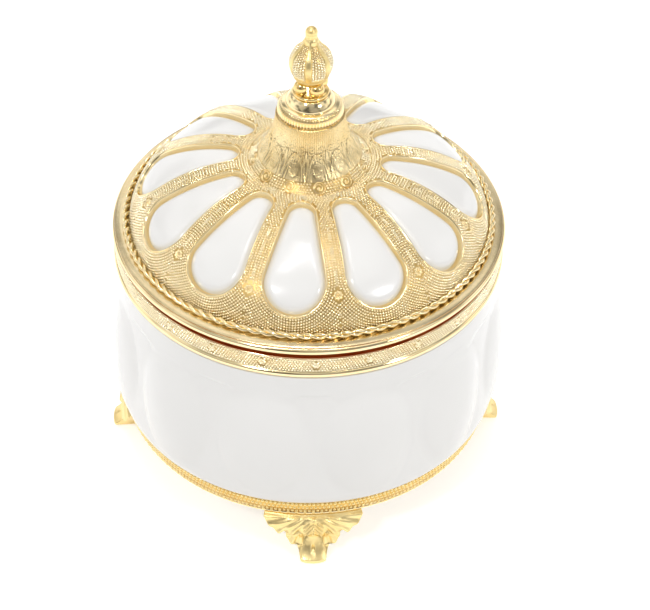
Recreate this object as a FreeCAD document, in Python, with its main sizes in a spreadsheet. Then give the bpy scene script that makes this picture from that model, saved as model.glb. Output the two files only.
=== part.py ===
import FreeCAD, Part
import math
import os
import Sketcher
from FreeCAD import Placement, Rotation, Vector

# A lidded table-top jar: white glazed porcelain bowl in a gilt base ring on four palmette feet,
# gilt rim collar, and a domed gilt lid with teardrop windows over porcelain petals and a bud finial.
# Frame: +Z up, origin on the floor under the middle of the jar, front foot towards -Y, millimetres.

SIZES = [
    ("bowl_radius", 64.0, "outer radius of the bowl under its band"),
    ("bowl_flare", 2.6, "how much wider the bowl is at its heel"),
    ("bowl_height", 68.8, "height of the bowl on its seat"),
    ("band_proud", 0.5, "how far the plain band under the collar stands out from the bowl"),
    ("band_height", 8.0, "height of the plain band under the collar"),
    ("neck_step", 1.5, "how far the bowl is set back inside the collar"),
    ("bowl_wall", 5.5, "wall of the bowl"),
    ("bowl_floor", 4.0, "thickness of the bowl's floor"),
    ("bowl_corner", 8.0, "inner corner radius between floor and wall"),
    ("heel_height", 4.2, "height of the bowl's heel above the base ring"),
    ("heel_bow", 0.85, "rounding of the bowl's heel, as a share of the chord"),
    ("foot_ring_inset", 3.6, "the bowl's foot ring set back from its wall"),
    ("foot_ring_width", 7.4, "width of the bowl's foot ring"),
    ("foot_ring_height", 1.6, "depth of the recess under the bowl"),
    ("lobe_count", 12, "number of lobes round the bowl"),
    ("lobe_sink", 8.5, "centre of a lobe inside the bowl's outer radius"),
    ("lobe_depth", 12.2, "half size of a lobe across the wall"),
    ("lobe_spread", 0.69, "half size of a lobe along the wall, as a share of the lobes' pitch"),
    ("lobe_tall", 0.58, "half height of a lobe, as a share of the bowl's height"),
    ("lobe_middle", 0.445, "middle of the lobes, as a share of the bowl's height"),
    ("lobe_heel", 0.7, "how far a lobe stands out at the bowl's heel"),
    ("bed_clearance", 0.3, "bedding gap between metal and porcelain"),
    ("base_proud", 1.4, "how far the base ring's top edge stands out from the bowl"),
    ("base_taper", 2.1, "how much narrower the base ring is at its bottom edge"),
    ("base_band", 8.2, "height of the base ring"),
    ("base_wall", 1.6, "wall of the base ring"),
    ("base_flange", 2.0, "thickness of the flange that carries the bowl"),
    ("base_ledge", 15.3, "how far the flange reaches in from the base ring's bottom edge"),
    ("foot_height", 18.4, "floor to the underside of the base ring"),
    ("foot_width", 33.0, "width of a foot under the base ring"),
    ("foot_proud", 0.3, "how far a foot stands out from the base ring's bottom edge"),
    ("foot_depth", 10.5, "radial depth of a foot under the base ring"),
    ("foot_plate", 1.2, "thickness of the edge of a foot under the base ring"),
    ("foot_waist", 0.4, "how far a foot's waist stands out beyond its top"),
    ("foot_waist_level", 0.5, "level of a foot's waist, as a share of its height"),
    ("foot_bow", 0.85, "section radius of a foot's upper face, as a share of the chord"),
    ("toe_bow", 1.3, "section radius of a foot's lower face, as a share of the chord"),
    ("foot_back_bow", 1.46, "section radius of a foot's back, as a share of the chord"),
    ("toe_reach", 6.2, "how far a toe reaches out beyond the top of its foot"),
    ("toe_width", 9.4, "width of a toe"),
    ("toe_depth", 7.6, "radial depth of a toe on the floor"),
    ("toe_height", 6.0, "height of the straight sides of a toe"),
    ("toe_face", 2.4, "height of the upright face of a toe"),
    ("leaf_half_width", 8.6, "half width of a foot where its two leaves meet"),
    ("leaf_level", 10.6, "height where the two leaves of a foot meet"),
    ("leaf_bow", 0.6, "rounding of a foot's lower leaf, as a share of the chord"),
    ("fan_bow", 1.05, "rounding of a foot's upper leaf, as a share of the chord"),
    ("screw_inset", 4.7, "circle of foot screws inside the base ring's bottom edge"),
    ("screw_radius", 1.5, "shank of a foot screw"),
    ("screw_length", 7.6, "length of a foot screw under its head"),
    ("screw_head_radius", 2.8, "head of a foot screw"),
    ("screw_head_height", 1.2, "height of a foot screw's head"),
    ("screw_clearance", 0.1, "radial clearance round a foot screw"),
    ("collar_wall", 1.6, "wall of the rim collar"),
    ("collar_roof", 1.8, "metal of the rim collar over the bowl's rim"),
    ("collar_skirt", 6.0, "depth of the rim collar below the bowl's rim"),
    ("collar_bead", 1.2, "half height of the bead along the collar's lower edge"),
    ("collar_edge", 0.4, "chamfer on the collar's upper edge"),
    ("rim_proud", 1.0, "how far the lid's bead stands out from the bowl"),
    ("bead_radius", 1.2, "half height of the lid's bead"),
    ("lid_gap", 1.8, "shadow gap between the collar and the lid's bead"),
    ("gap_depth", 3.2, "depth of the shadow gap"),
    ("spigot_clearance", 0.5, "radial clearance of the lid's spigot in the bowl"),
    ("spigot_wall", 2.0, "wall of the lid's spigot"),
    ("spigot_depth", 5.0, "depth of the lid's spigot in the bowl"),
    ("insert_seat", 3.2, "how far the insert's seat reaches inside the spigot"),
    ("insert_seat_height", 1.8, "thickness of the insert's seat"),
    ("flange_inset", 0.8, "the lid shell's flange set back from the bead"),
    ("flange_lip", 0.3, "height of the flange at its edge"),
    ("flange_rise", 0.8, "height of the flange at the rope border"),
    ("flange_bow", 2.3, "section radius of the flange, as a share of the chord"),
    ("rope_inset", 4.5, "circle of the rope border inside the bead"),
    ("rope_wire", 1.15, "half thickness of the rope border"),
    ("rope_clearance", 0.15, "gap between the rope border and the dome"),
    ("crown_height", 24.0, "top of the dome above the flange's underside"),
    ("crown_radius", 53.1, "section radius of the dome's crown"),
    ("shoulder_inset", 15.0, "start of the dome's shoulder inside the bead"),
    ("shoulder_radius", 23.0, "section radius of the dome's shoulder"),
    ("shell_wall", 2.2, "wall of the lid shell"),
    ("window_count", 12, "number of windows in the lid"),
    ("window_root", 7.95, "centre of a window's inner round outside the neck's foot"),
    ("window_inset", 16.53, "centre of a window's outer round inside the bead"),
    ("window_drop", 6.93, "middle of a window's plane below the dome's top"),
    ("window_tilt", 27.5, "tilt of a window's plane in degrees"),
    ("window_reach", 22.0, "depth of the window cut"),
    ("rib_width", 5.35, "width of the ribs between the windows"),
    ("lid_turn", -7.5, "turn of the lid on the jar in degrees"),
    ("neck_share", 0.3, "radius of the neck's foot, as a share of the bead's radius"),
    ("neck_radius", 10.8, "radius of the lid's neck at its top"),
    ("neck_height", 18.5, "height of the lid's neck"),
    ("neck_flare", 26.0, "section radius of the lid's neck"),
    ("neck_wall", 1.8, "wall of the lid's neck"),
    ("insert_clearance", 0.3, "gap between the lid shell and the porcelain insert"),
    ("insert_wall", 2.6, "wall of the porcelain insert"),
    ("petal_rise", 1.6, "height of a petal above the insert"),
    ("petal_gap", 0.9, "gap between a petal and the edge of its window"),
    ("petal_root", 1.5, "overlap of a petal with the insert"),
    ("rod_radius", 2.5, "radius of the tie rod"),
    ("rod_clearance", 0.1, "radial clearance round the tie rod"),
    ("rod_tail", 1.2, "tie rod showing under the nut"),
    ("rod_grip", 9.5, "tie rod inside the finial's bud"),
    ("washer_height", 1.0, "thickness of the washer and of the fibre washer"),
    ("washer_radius", 6.0, "outer radius of the washer"),
    ("fibre_radius", 7.0, "outer radius of the fibre washer"),
    ("nut_height", 4.0, "height of the nut"),
    ("nut_corner", 4.62, "corner radius of the nut"),
    ("cap_overhang", 0.2, "the finial cap's milled edge set back from the neck's top"),
    ("cap_foot", 0.6, "the finial cap's foot set back from its milled edge"),
    ("cap_edge_level", 1.6, "height of the milled edge's widest circle"),
    ("cap_edge_height", 4.4, "height of the milled edge"),
    ("cap_edge_inset", 2.6, "top of the milled edge inside its widest circle"),
    ("cap_edge_bow", 0.72, "section radius of the milled edge, as a share of the chord"),
    ("cap_height", 7.6, "height of the finial cap"),
    ("cap_top_radius", 6.2, "radius of the finial cap's top"),
    ("cap_bow", 1.74, "section radius of the finial cap, as a share of the chord"),
    ("cap_spigot", 2.0, "depth of the finial cap's spigot in the neck"),
    ("cap_clearance", 0.2, "radial clearance of the finial cap's spigot"),
    ("ball_count", 4, "number of balls in the finial's ball ring"),
    ("ball_radius", 2.5, "radius of a ball"),
    ("ball_circle", 3.5, "radius of the circle of balls"),
    ("ball_turn", 29.4, "turn of the balls about the axis, in degrees"),
    ("ball_core", 3.9, "radius of the ball ring's core"),
    ("ball_foot", 5.9, "radius of the ball ring's foot"),
    ("ball_foot_height", 1.3, "height of the ball ring's foot"),
    ("ball_drop", 0.1, "tops of the balls below the bud"),
    ("ball_ring_height", 5.7, "height of the ball ring"),
    ("bud_foot", 4.55, "radius of the bud's foot"),
    ("bud_radius", 6.98, "largest radius of the bud"),
    ("bud_swell", 6.0, "height of the bud's largest radius"),
    ("bud_swell_bow", 1.5, "section radius under the largest radius, as a share of the chord"),
    ("bud_shoulder", 4.5, "radius of the bud's shoulder"),
    ("bud_shoulder_rise", 5.0, "height of the bud's shoulder above its largest radius"),
    ("bud_shoulder_bow", 1.4, "section radius above the largest radius, as a share of the chord"),
    ("bud_neck", 1.85, "radius under the pip"),
    ("bud_neck_rise", 5.5, "height of the bud's neck above its shoulder"),
    ("bud_neck_bow", 1.25, "section radius under the pip, as a share of the chord"),
    ("pip_radius", 1.93, "radius of the pip"),
]

doc = FreeCAD.newDocument("lidded_jar")
sheet = doc.addObject("Spreadsheet::Sheet", "Sizes")
for row, (alias, value, meaning) in enumerate(SIZES, start=1):
    sheet.set(f"A{row}", meaning)
    sheet.set(f"B{row}", str(value))
    sheet.setAlias(f"B{row}", alias)
doc.recompute()


def size(alias):
    """The cell of one driving dimension, as used in expressions."""
    return f"Sizes.{alias}"


def number(expression):
    """The value that an expression of driving dimensions has now."""
    return float(sheet.evalExpression(f"({expression}) * 1.0"))


# Levels and radii that several pieces share, as expressions of the driving dimensions.
Z_SEAT = "(Sizes.foot_height + Sizes.base_flange)"
Z_BASE_TOP = "(Sizes.foot_height + Sizes.base_band)"
Z_BOWL_RIM = f"({Z_SEAT} + Sizes.bowl_height)"
Z_COLLAR = f"({Z_BOWL_RIM} + Sizes.collar_roof)"
Z_SKIRT = f"({Z_BOWL_RIM} - Sizes.collar_skirt)"
Z_BEAD = f"({Z_COLLAR} + Sizes.lid_gap + Sizes.bead_radius)"
Z_FLANGE = f"({Z_BEAD} + Sizes.bead_radius)"
Z_ROPE_SEAT = f"({Z_FLANGE} + Sizes.flange_rise)"
Z_CROWN = f"({Z_FLANGE} + Sizes.crown_height)"
Z_NECK = f"({Z_CROWN} + Sizes.neck_height)"
Z_CAP = f"({Z_NECK} + Sizes.cap_height)"
Z_BUD = f"({Z_CAP} + Sizes.ball_ring_height)"
INSERT_DEPTH = "(Sizes.shell_wall + Sizes.insert_clearance)"
Z_INSERT_UNDER = f"({Z_CROWN} - {INSERT_DEPTH} - Sizes.insert_wall)"
R_BOWL_BORE = "(Sizes.bowl_radius - Sizes.bowl_wall)"
R_BOWL_NECK = "(Sizes.bowl_radius - Sizes.neck_step)"
R_BASE_TOP = "(Sizes.bowl_radius + Sizes.base_proud)"
R_BASE_BOTTOM = f"({R_BASE_TOP} - Sizes.base_taper)"
R_FOOT = f"({R_BASE_BOTTOM} + Sizes.foot_proud)"
R_TOE = f"({R_FOOT} + Sizes.toe_reach)"
R_RIM = "(Sizes.bowl_radius + Sizes.rim_proud)"
R_SPIGOT = f"({R_BOWL_BORE} - Sizes.spigot_clearance)"
R_SPIGOT_BORE = f"({R_SPIGOT} - Sizes.spigot_wall)"
R_ROPE = f"({R_RIM} - Sizes.rope_inset)"
R_DOME_FOOT = f"({R_ROPE} - Sizes.rope_wire - Sizes.rope_clearance)"
R_NECK_FOOT = f"({R_RIM} * Sizes.neck_share)"
R_SHOULDER = f"({R_RIM} - Sizes.shoulder_inset)"
R_ROD_BORE = "(Sizes.rod_radius + Sizes.rod_clearance)"
SHOULDER_SINE = f"(({R_SHOULDER} - {R_NECK_FOOT}) / Sizes.crown_radius)"
SHOULDER_COSINE = f"sqrt(1 - {SHOULDER_SINE}^2)"


def origin_feature(body, role):
    """One of a body's own origin planes or axes."""
    return next(item for item in body.Origin.OriginFeatures if item.Role == role)


def new_body(name):
    body = doc.addObject("PartDesign::Body", name)
    body.AllowCompound = True
    return body


def new_sketch(body, name, plane):
    sketch = body.newObject("Sketcher::SketchObject", name)
    sketch.AttachmentSupport = [(origin_feature(body, plane), "")]
    sketch.MapMode = "FlatFace"
    return sketch


def arc_between(start, end, radius, side):
    """The shorter arc between two points with its centre left or right of the way along it."""
    chord = end - start
    half = chord.Length / 2
    away = math.sqrt(max(radius ** 2 - half ** 2, 0.0))
    left = Vector(-chord.y, chord.x, 0).normalize()
    centre = (start + end) * 0.5 + left * (away if side == "left" else -away)
    first, last = (start, end) if side == "left" else (end, start)
    first_angle = math.atan2(first.y - centre.y, first.x - centre.x)
    last_angle = math.atan2(last.y - centre.y, last.x - centre.x)
    return Part.ArcOfCircle(Part.Circle(centre, Vector(0, 0, 1), radius), first_angle, last_angle)


def bind(sketch, constraint, expression):
    index = sketch.addConstraint(constraint)
    sketch.setExpression(f"Constraints[{index}]", expression)


def bow(start, end, share):
    """Radius of an arc between two corners, as a share of the chord between them."""
    across = f"(({end[0]}) - ({start[0]}))"
    along = f"(({end[1]}) - ({start[1]}))"
    return f"({share} * sqrt({across}^2 + {along}^2))"


def outline(sketch, corners):
    """A closed outline. A corner is (x, y), or (x, y, radius, side) where an arc leaves it.

    A side that ends in "bow" gives the radius as a share of the arc's chord.
    """
    corners = list(corners)
    for index, corner in enumerate(corners):
        if len(corner) > 2 and corner[3].endswith("bow"):
            radius = bow(corner, corners[(index + 1) % len(corners)], corner[2])
            corners[index] = (corner[0], corner[1], radius, corner[3].split()[0])
    points = [Vector(number(corner[0]), number(corner[1]), 0) for corner in corners]
    start_ends = []
    for index, corner in enumerate(corners):
        start = points[index]
        end = points[(index + 1) % len(points)]
        if len(corner) == 2:
            sketch.addGeometry(Part.LineSegment(start, end), False)
            start_ends.append((1, 2))
        else:
            radius, side = corner[2], corner[3]
            sketch.addGeometry(arc_between(start, end, number(radius), side), False)
            start_ends.append((1, 2) if side == "left" else (2, 1))
    for index in range(len(corners)):
        following = (index + 1) % len(corners)
        joint = (index, start_ends[index][1], following, start_ends[following][0])
        sketch.addConstraint(Sketcher.Constraint("Coincident", *joint))
    for index, corner in enumerate(corners):
        place = (-1, 1, index, start_ends[index][0])
        bind(sketch, Sketcher.Constraint("DistanceX", *place, points[index].x), corner[0])
        bind(sketch, Sketcher.Constraint("DistanceY", *place, points[index].y), corner[1])
        if len(corner) > 2:
            bind(sketch, Sketcher.Constraint("Radius", index, number(corner[2])), corner[2])


def turned(name, corners):
    """A body turned about the jar's axis from an outline of (radius, height) corners."""
    body = new_body(name)
    sketch = new_sketch(body, f"{name}_outline", "XZ_Plane")
    outline(sketch, corners)
    revolution = body.newObject("PartDesign::Revolution", f"{name}_turn")
    revolution.Profile = sketch
    revolution.ReferenceAxis = (sketch, ["V_Axis"])
    revolution.Angle = 360
    body.Tip = revolution
    return body


def turned_cut(body, name, corners):
    """Cuts a space turned about the jar's axis out of a body."""
    sketch = new_sketch(body, f"{name}_outline", "XZ_Plane")
    outline(sketch, corners)
    groove = body.newObject("PartDesign::Groove", name)
    groove.Profile = sketch
    groove.ReferenceAxis = (sketch, ["V_Axis"])
    groove.Angle = 360
    body.Tip = groove


def around(body, feature, count):
    """Repeats a feature of a body round the jar's axis."""
    pattern = body.newObject("PartDesign::PolarPattern", f"{feature.Name}_pattern")
    pattern.Originals = [feature]
    pattern.Axis = (origin_feature(body, "Z_Axis"), [""])
    pattern.Angle = 360
    pattern.setExpression("Occurrences", count)
    body.Tip = pattern


def cut(name, base, tool):
    feature = doc.addObject("Part::Cut", name)
    feature.Base = base
    feature.Tool = tool
    return feature


def drilled_cylinder(name, radius, height, level, bore):
    """An upright ring or disc on the jar's axis with a bore through it."""
    blank = doc.addObject("Part::Cylinder", f"{name}_blank")
    drill = doc.addObject("Part::Cylinder", f"{name}_bore")
    for cylinder, cylinder_radius in ((blank, radius), (drill, bore)):
        cylinder.setExpression("Radius", cylinder_radius)
        cylinder.setExpression("Height", height)
        cylinder.setExpression("Placement.Base.z", level)
    return cut(name, blank, drill)


def turn_about_axis(feature, angle):
    """Turns a finished piece about the jar's axis by an expression in degrees."""
    feature.Placement = Placement(Vector(), Rotation(Vector(0, 0, 1), 1.0))
    feature.setExpression("Placement.Rotation.Angle", angle)


def make_bowl():
    skirt_bed = f"({Z_SKIRT} - Sizes.bed_clearance)"
    band = "(Sizes.bowl_radius + Sizes.band_proud)"
    band_bottom = f"({skirt_bed} - Sizes.band_height)"
    foot_ring = "(Sizes.bowl_radius - Sizes.foot_ring_inset)"
    foot_ring_bore = f"({foot_ring} - Sizes.foot_ring_width)"
    recess = f"({Z_SEAT} + Sizes.foot_ring_height)"
    inside = f"({recess} + Sizes.bowl_floor)"
    tucked = f"({R_BASE_TOP} - Sizes.base_wall - Sizes.bed_clearance)"
    lobe_circle = "(Sizes.bowl_radius - Sizes.lobe_sink)"
    lobe_reach = f"({lobe_circle} + 2 * Sizes.lobe_depth)"
    ring_top = f"({Z_BASE_TOP} + Sizes.bed_clearance)"
    heel = f"({Z_BASE_TOP} + Sizes.heel_height)"
    heel_radius = "(Sizes.bowl_radius + Sizes.bowl_flare)"
    underside = [
        ("0", recess),
        (foot_ring_bore, recess),
        (foot_ring_bore, Z_SEAT),
        (foot_ring, Z_SEAT),
        (tucked, Z_BASE_TOP),
    ]
    bowl = turned("bowl", [
        *underside,
        (R_BASE_TOP, ring_top, size("heel_bow"), "left bow"),
        (heel_radius, heel),
        (size("bowl_radius"), band_bottom),
        (band, f"{band_bottom} + Sizes.band_proud"),
        (band, skirt_bed),
        (R_BOWL_NECK, skirt_bed),
        (R_BOWL_NECK, Z_BOWL_RIM),
        ("0", Z_BOWL_RIM),
    ])
    lobe = bowl.newObject("PartDesign::AdditiveEllipsoid", "bowl_lobe")
    lobe.AttachmentSupport = [(origin_feature(bowl, "XY_Plane"), "")]
    lobe.MapMode = "FlatFace"
    lobe.AttachmentOffset = Placement(Vector(), Rotation(Vector(0, -1, 0), 1.0))
    lean = f"atan(Sizes.bowl_flare / ({band_bottom} - {heel}))"
    lobe.setExpression("AttachmentOffset.Rotation.Angle", lean)
    lobe.setExpression("AttachmentOffset.Base.x", lobe_circle)
    lobe.setExpression("AttachmentOffset.Base.z", f"{Z_SEAT} + Sizes.bowl_height * Sizes.lobe_middle")
    lobe.setExpression("Radius1", "Sizes.bowl_height * Sizes.lobe_tall")
    lobe.setExpression("Radius2", size("lobe_depth"))
    lobe.setExpression("Radius3", f"2 * pi * {lobe_circle} / Sizes.lobe_count * Sizes.lobe_spread")
    around(bowl, lobe, size("lobe_count"))
    turned_cut(bowl, "bowl_foot_trim", [
        *underside,
        (R_BASE_TOP, ring_top, size("heel_bow"), "left bow"),
        (f"{heel_radius} + Sizes.lobe_heel", heel),
        (lobe_reach, heel),
        (lobe_reach, "0"),
        ("0", "0"),
    ])
    turned_cut(bowl, "bowl_neck_trim", [
        (R_BOWL_NECK, skirt_bed),
        (lobe_reach, skirt_bed),
        (lobe_reach, f"{Z_COLLAR} + Sizes.bowl_height"),
        (R_BOWL_BORE, f"{Z_COLLAR} + Sizes.bowl_height"),
        (R_BOWL_BORE, Z_BOWL_RIM),
        (R_BOWL_NECK, Z_BOWL_RIM),
    ])
    turned_cut(bowl, "bowl_hollow", [
        ("0", inside),
        (f"{R_BOWL_BORE} - Sizes.bowl_corner", inside, size("bowl_corner"), "left"),
        (R_BOWL_BORE, f"{inside} + Sizes.bowl_corner"),
        (R_BOWL_BORE, f"{Z_COLLAR} + Sizes.bowl_height"),
        ("0", f"{Z_COLLAR} + Sizes.bowl_height"),
    ])
    turn_about_axis(bowl, "180 / Sizes.lobe_count")
    return bowl


def make_rim_collar():
    bore = f"({R_BOWL_NECK} + Sizes.bed_clearance)"
    band = f"({bore} + Sizes.collar_wall)"
    bead_circle = f"({band} - Sizes.collar_bead / 2)"
    bead_top = f"({Z_SKIRT} + 2 * Sizes.collar_bead)"
    return turned("rim_collar", [
        (R_BOWL_BORE, Z_BOWL_RIM),
        (bore, Z_BOWL_RIM),
        (bore, Z_SKIRT),
        (bead_circle, Z_SKIRT, size("collar_bead"), "left"),
        (f"{bead_circle} + Sizes.collar_bead", f"{Z_SKIRT} + Sizes.collar_bead",
         size("collar_bead"), "left"),
        (bead_circle, bead_top),
        (band, bead_top),
        (band, f"{Z_COLLAR} - Sizes.collar_edge"),
        (f"{band} - Sizes.collar_edge", Z_COLLAR),
        (R_BOWL_BORE, Z_COLLAR),
    ])


def screw_corners(clearance):
    """Half section of a foot screw, grown by a clearance to make its hole."""
    head = f"({Z_SEAT} - Sizes.screw_head_height)"
    tip = f"({head} - Sizes.screw_length - {clearance})"
    shank = f"(Sizes.screw_radius + {clearance})"
    crown = f"(Sizes.screw_head_radius + {clearance})"
    return [("0", tip), (shank, tip), (shank, head), (crown, head), (crown, Z_SEAT), ("0", Z_SEAT)]


def make_screws(name, clearance):
    """One solid for each foot, on the screw circle."""
    body = new_body(name)
    sketch = new_sketch(body, f"{name}_outline", "XZ_Plane")
    sketch.AttachmentOffset = Placement(Vector(1, 0, 0), Rotation())
    sketch.setExpression("AttachmentOffset.Base.x", f"{R_BASE_BOTTOM} - Sizes.screw_inset")
    outline(sketch, screw_corners(clearance))
    screw = body.newObject("PartDesign::Revolution", f"{name}_turn")
    screw.Profile = sketch
    screw.ReferenceAxis = (sketch, ["V_Axis"])
    screw.Angle = 360
    around(body, screw, str(len(FEET)))
    return body


def make_base_ring(holes):
    bore = f"({R_BASE_BOTTOM} - Sizes.base_ledge)"
    blank = turned("base_ring_blank", [
        (bore, size("foot_height")),
        (R_BASE_BOTTOM, size("foot_height")),
        (R_BASE_TOP, Z_BASE_TOP),
        (f"{R_BASE_TOP} - Sizes.base_wall", Z_BASE_TOP),
        (f"{R_BASE_BOTTOM} - Sizes.base_wall", Z_SEAT),
        (bore, Z_SEAT),
    ])
    return cut("base_ring", blank, holes)


def make_foot(name, angle, holes):
    """A foot: its front outline and its side outline share one solid, turned to its place."""
    half_top = "(Sizes.foot_width / 2)"
    half_toe = "(Sizes.toe_width / 2)"
    plate_under = "(Sizes.foot_height - Sizes.foot_plate)"
    front = new_body(f"{name}_front")
    front_sketch = new_sketch(front, f"{name}_front_outline", "XZ_Plane")
    outline(front_sketch, [
        (f"-{half_toe}", "0"),
        (half_toe, "0"),
        (half_toe, size("toe_height"), size("leaf_bow"), "left bow"),
        (size("leaf_half_width"), size("leaf_level"), size("fan_bow"), "left bow"),
        (half_top, plate_under),
        (half_top, size("foot_height")),
        (f"-{half_top}", size("foot_height")),
        (f"-{half_top}", plate_under, size("fan_bow"), "left bow"),
        ("-Sizes.leaf_half_width", size("leaf_level"), size("leaf_bow"), "left bow"),
        (f"-{half_toe}", size("toe_height")),
    ])
    front_pad = front.newObject("PartDesign::Pad", f"{name}_front_pad")
    front_pad.Profile = front_sketch
    front_pad.setExpression("Length", f"{R_TOE} + Sizes.toe_depth")
    side = new_body(f"{name}_side")
    side_sketch = new_sketch(side, f"{name}_side_outline", "YZ_Plane")
    waist_level = "(Sizes.foot_height * Sizes.foot_waist_level)"
    outline(side_sketch, [
        (f"-{R_FOOT}", size("foot_height"), size("foot_bow"), "left bow"),
        (f"-({R_FOOT} + Sizes.foot_waist)", waist_level, size("toe_bow"), "right bow"),
        (f"-{R_TOE}", size("toe_face")),
        (f"-{R_TOE}", "0"),
        (f"-({R_TOE} - Sizes.toe_depth)", "0", size("foot_back_bow"), "left bow"),
        (f"-({R_FOOT} - Sizes.foot_depth)", size("foot_height")),
    ])
    side_pad = side.newObject("PartDesign::Pad", f"{name}_side_pad")
    side_pad.Profile = side_sketch
    side_pad.SideType = "Symmetric"
    side_pad.setExpression("Length", size("foot_width"))
    blank = doc.addObject("Part::Common", f"{name}_blank")
    blank.Base = front
    blank.Tool = side
    turn_about_axis(blank, angle)
    return cut(name, blank, holes)


def dome_corners(depth, inner_depth, inner_radius):
    """Section of a cap between two depths under the lid's dome, from its foot to a hole on the axis."""
    def level(offset):
        crown = f"(Sizes.crown_radius - {offset})"
        shoulder = f"({Z_CROWN} - Sizes.crown_radius + {crown} * {SHOULDER_COSINE})"
        return crown, shoulder

    outer_crown, outer_shoulder = level(depth)
    inner_crown, inner_shoulder = level(inner_depth)
    return [
        (inner_radius, f"{Z_CROWN} - {inner_depth}"),
        (R_NECK_FOOT, f"{Z_CROWN} - {inner_depth}", inner_crown, "right"),
        (f"{R_NECK_FOOT} + {inner_crown} * {SHOULDER_SINE}", inner_shoulder,
         f"Sizes.shoulder_radius - {inner_depth}", "right"),
        (f"{R_DOME_FOOT} - {inner_depth}", Z_FLANGE),
        (f"{R_DOME_FOOT} - {depth}", Z_FLANGE, f"Sizes.shoulder_radius - {depth}", "left"),
        (f"{R_NECK_FOOT} + {outer_crown} * {SHOULDER_SINE}", outer_shoulder, outer_crown, "left"),
        (R_NECK_FOOT, f"{Z_CROWN} - {depth}"),
        (inner_radius, f"{Z_CROWN} - {depth}"),
    ]


def make_teardrops(name, gap):
    """Upright teardrops between the lid's ribs, set in from each window's edge by a gap."""
    inner_circle = f"({R_NECK_FOOT} + Sizes.window_root)"
    outer_circle = f"({R_RIM} - Sizes.window_inset)"
    half_sector = "sin(180 deg / Sizes.window_count)"
    inner = f"({inner_circle} * {half_sector} - Sizes.rib_width / 2 - {gap})"
    outer = f"({outer_circle} * {half_sector} - Sizes.rib_width / 2 - {gap})"
    half_span = f"(({outer_circle} - {inner_circle}) / cos(Sizes.window_tilt * 1 deg) / 2)"
    sine = f"(({outer} - {inner}) / (2 * {half_span}))"
    cosine = f"sqrt(1 - {sine}^2)"
    body = new_body(name)
    sketch = new_sketch(body, f"{name}_outline", "XY_Plane")
    sketch.AttachmentOffset = Placement(Vector(), Rotation(Vector(0, 1, 0), 1.0))
    sketch.setExpression("AttachmentOffset.Base.x", f"({inner_circle} + {outer_circle}) / 2")
    sketch.setExpression("AttachmentOffset.Base.z", f"{Z_CROWN} - Sizes.window_drop")
    sketch.setExpression("AttachmentOffset.Rotation.Angle", size("window_tilt"))
    outline(sketch, [
        (f"{half_span} + {outer}", "0", outer, "left"),
        (f"{half_span} - {outer} * {sine}", f"{outer} * {cosine}"),
        (f"-{half_span} - {inner} * {sine}", f"{inner} * {cosine}", inner, "left"),
        (f"-{half_span} - {inner}", "0", inner, "left"),
        (f"-{half_span} - {inner} * {sine}", f"-{inner} * {cosine}"),
        (f"{half_span} - {outer} * {sine}", f"-{outer} * {cosine}", outer, "left"),
    ])
    pad = body.newObject("PartDesign::Pad", f"{name}_pad")
    pad.Profile = sketch
    pad.SideType = "Symmetric"
    pad.setExpression("Length", size("window_reach"))
    around(body, pad, size("window_count"))
    return body


def make_lid_shell():
    dome = dome_corners("0", size("shell_wall"), R_NECK_FOOT)
    inside_to_foot = dome[1:4]
    foot_to_crown = dome[5:7]
    flange_edge = f"({R_RIM} - Sizes.flange_inset)"
    rope_edge = f"({R_ROPE} + Sizes.rope_wire)"
    neck_bore = "(Sizes.neck_radius - Sizes.neck_wall)"
    neck_bore_foot = f"({R_NECK_FOOT} - Sizes.neck_wall)"
    blank = turned("lid_shell_blank", [
        (neck_bore, Z_NECK, "Sizes.neck_flare + Sizes.neck_wall", "left"),
        (neck_bore_foot, f"{Z_CROWN} - Sizes.shell_wall"),
        *inside_to_foot,
        (flange_edge, Z_FLANGE),
        (flange_edge, f"{Z_FLANGE} + Sizes.flange_lip", size("flange_bow"), "left bow"),
        (rope_edge, Z_ROPE_SEAT),
        (R_DOME_FOOT, Z_ROPE_SEAT, size("shoulder_radius"), "left"),
        foot_to_crown[0],
        (R_NECK_FOOT, Z_CROWN, size("neck_flare"), "right"),
        (size("neck_radius"), Z_NECK),
    ])
    shell = cut("lid_shell", blank, make_teardrops("window_cutters", "0"))
    turn_about_axis(shell, size("lid_turn"))
    return shell


def make_petal_dome():
    ground = turned("insert_ground", dome_corners(
        INSERT_DEPTH, f"({INSERT_DEPTH} + Sizes.insert_wall)", R_ROD_BORE))
    crest = turned("petal_crest", dome_corners(
        f"({INSERT_DEPTH} - Sizes.petal_rise)", f"({INSERT_DEPTH} + Sizes.petal_root)", R_ROD_BORE))
    petals = doc.addObject("Part::Common", "petals")
    petals.Base = crest
    petals.Tool = make_teardrops("petal_cutters", size("petal_gap"))
    insert = doc.addObject("Part::Fuse", "petal_dome")
    insert.Base = ground
    insert.Tool = petals
    turn_about_axis(insert, size("lid_turn"))
    return insert


def make_lid_rim():
    bead_circle = f"({R_RIM} - Sizes.bead_radius)"
    gap_back = f"({R_RIM} - Sizes.gap_depth)"
    gap_top = f"({Z_COLLAR} + Sizes.lid_gap)"
    seat_bore = f"({R_SPIGOT_BORE} - Sizes.insert_seat)"
    seat_under = f"({Z_FLANGE} - Sizes.insert_seat_height)"
    spigot_end = f"({Z_COLLAR} - Sizes.spigot_depth)"
    return turned("lid_rim", [
        (R_SPIGOT_BORE, spigot_end),
        (R_SPIGOT, spigot_end),
        (R_SPIGOT, Z_COLLAR),
        (gap_back, Z_COLLAR),
        (gap_back, gap_top),
        (bead_circle, gap_top, size("bead_radius"), "left"),
        (R_RIM, Z_BEAD, size("bead_radius"), "left"),
        (bead_circle, Z_FLANGE),
        (seat_bore, Z_FLANGE),
        (seat_bore, seat_under),
        (R_SPIGOT_BORE, seat_under),
    ])


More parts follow.
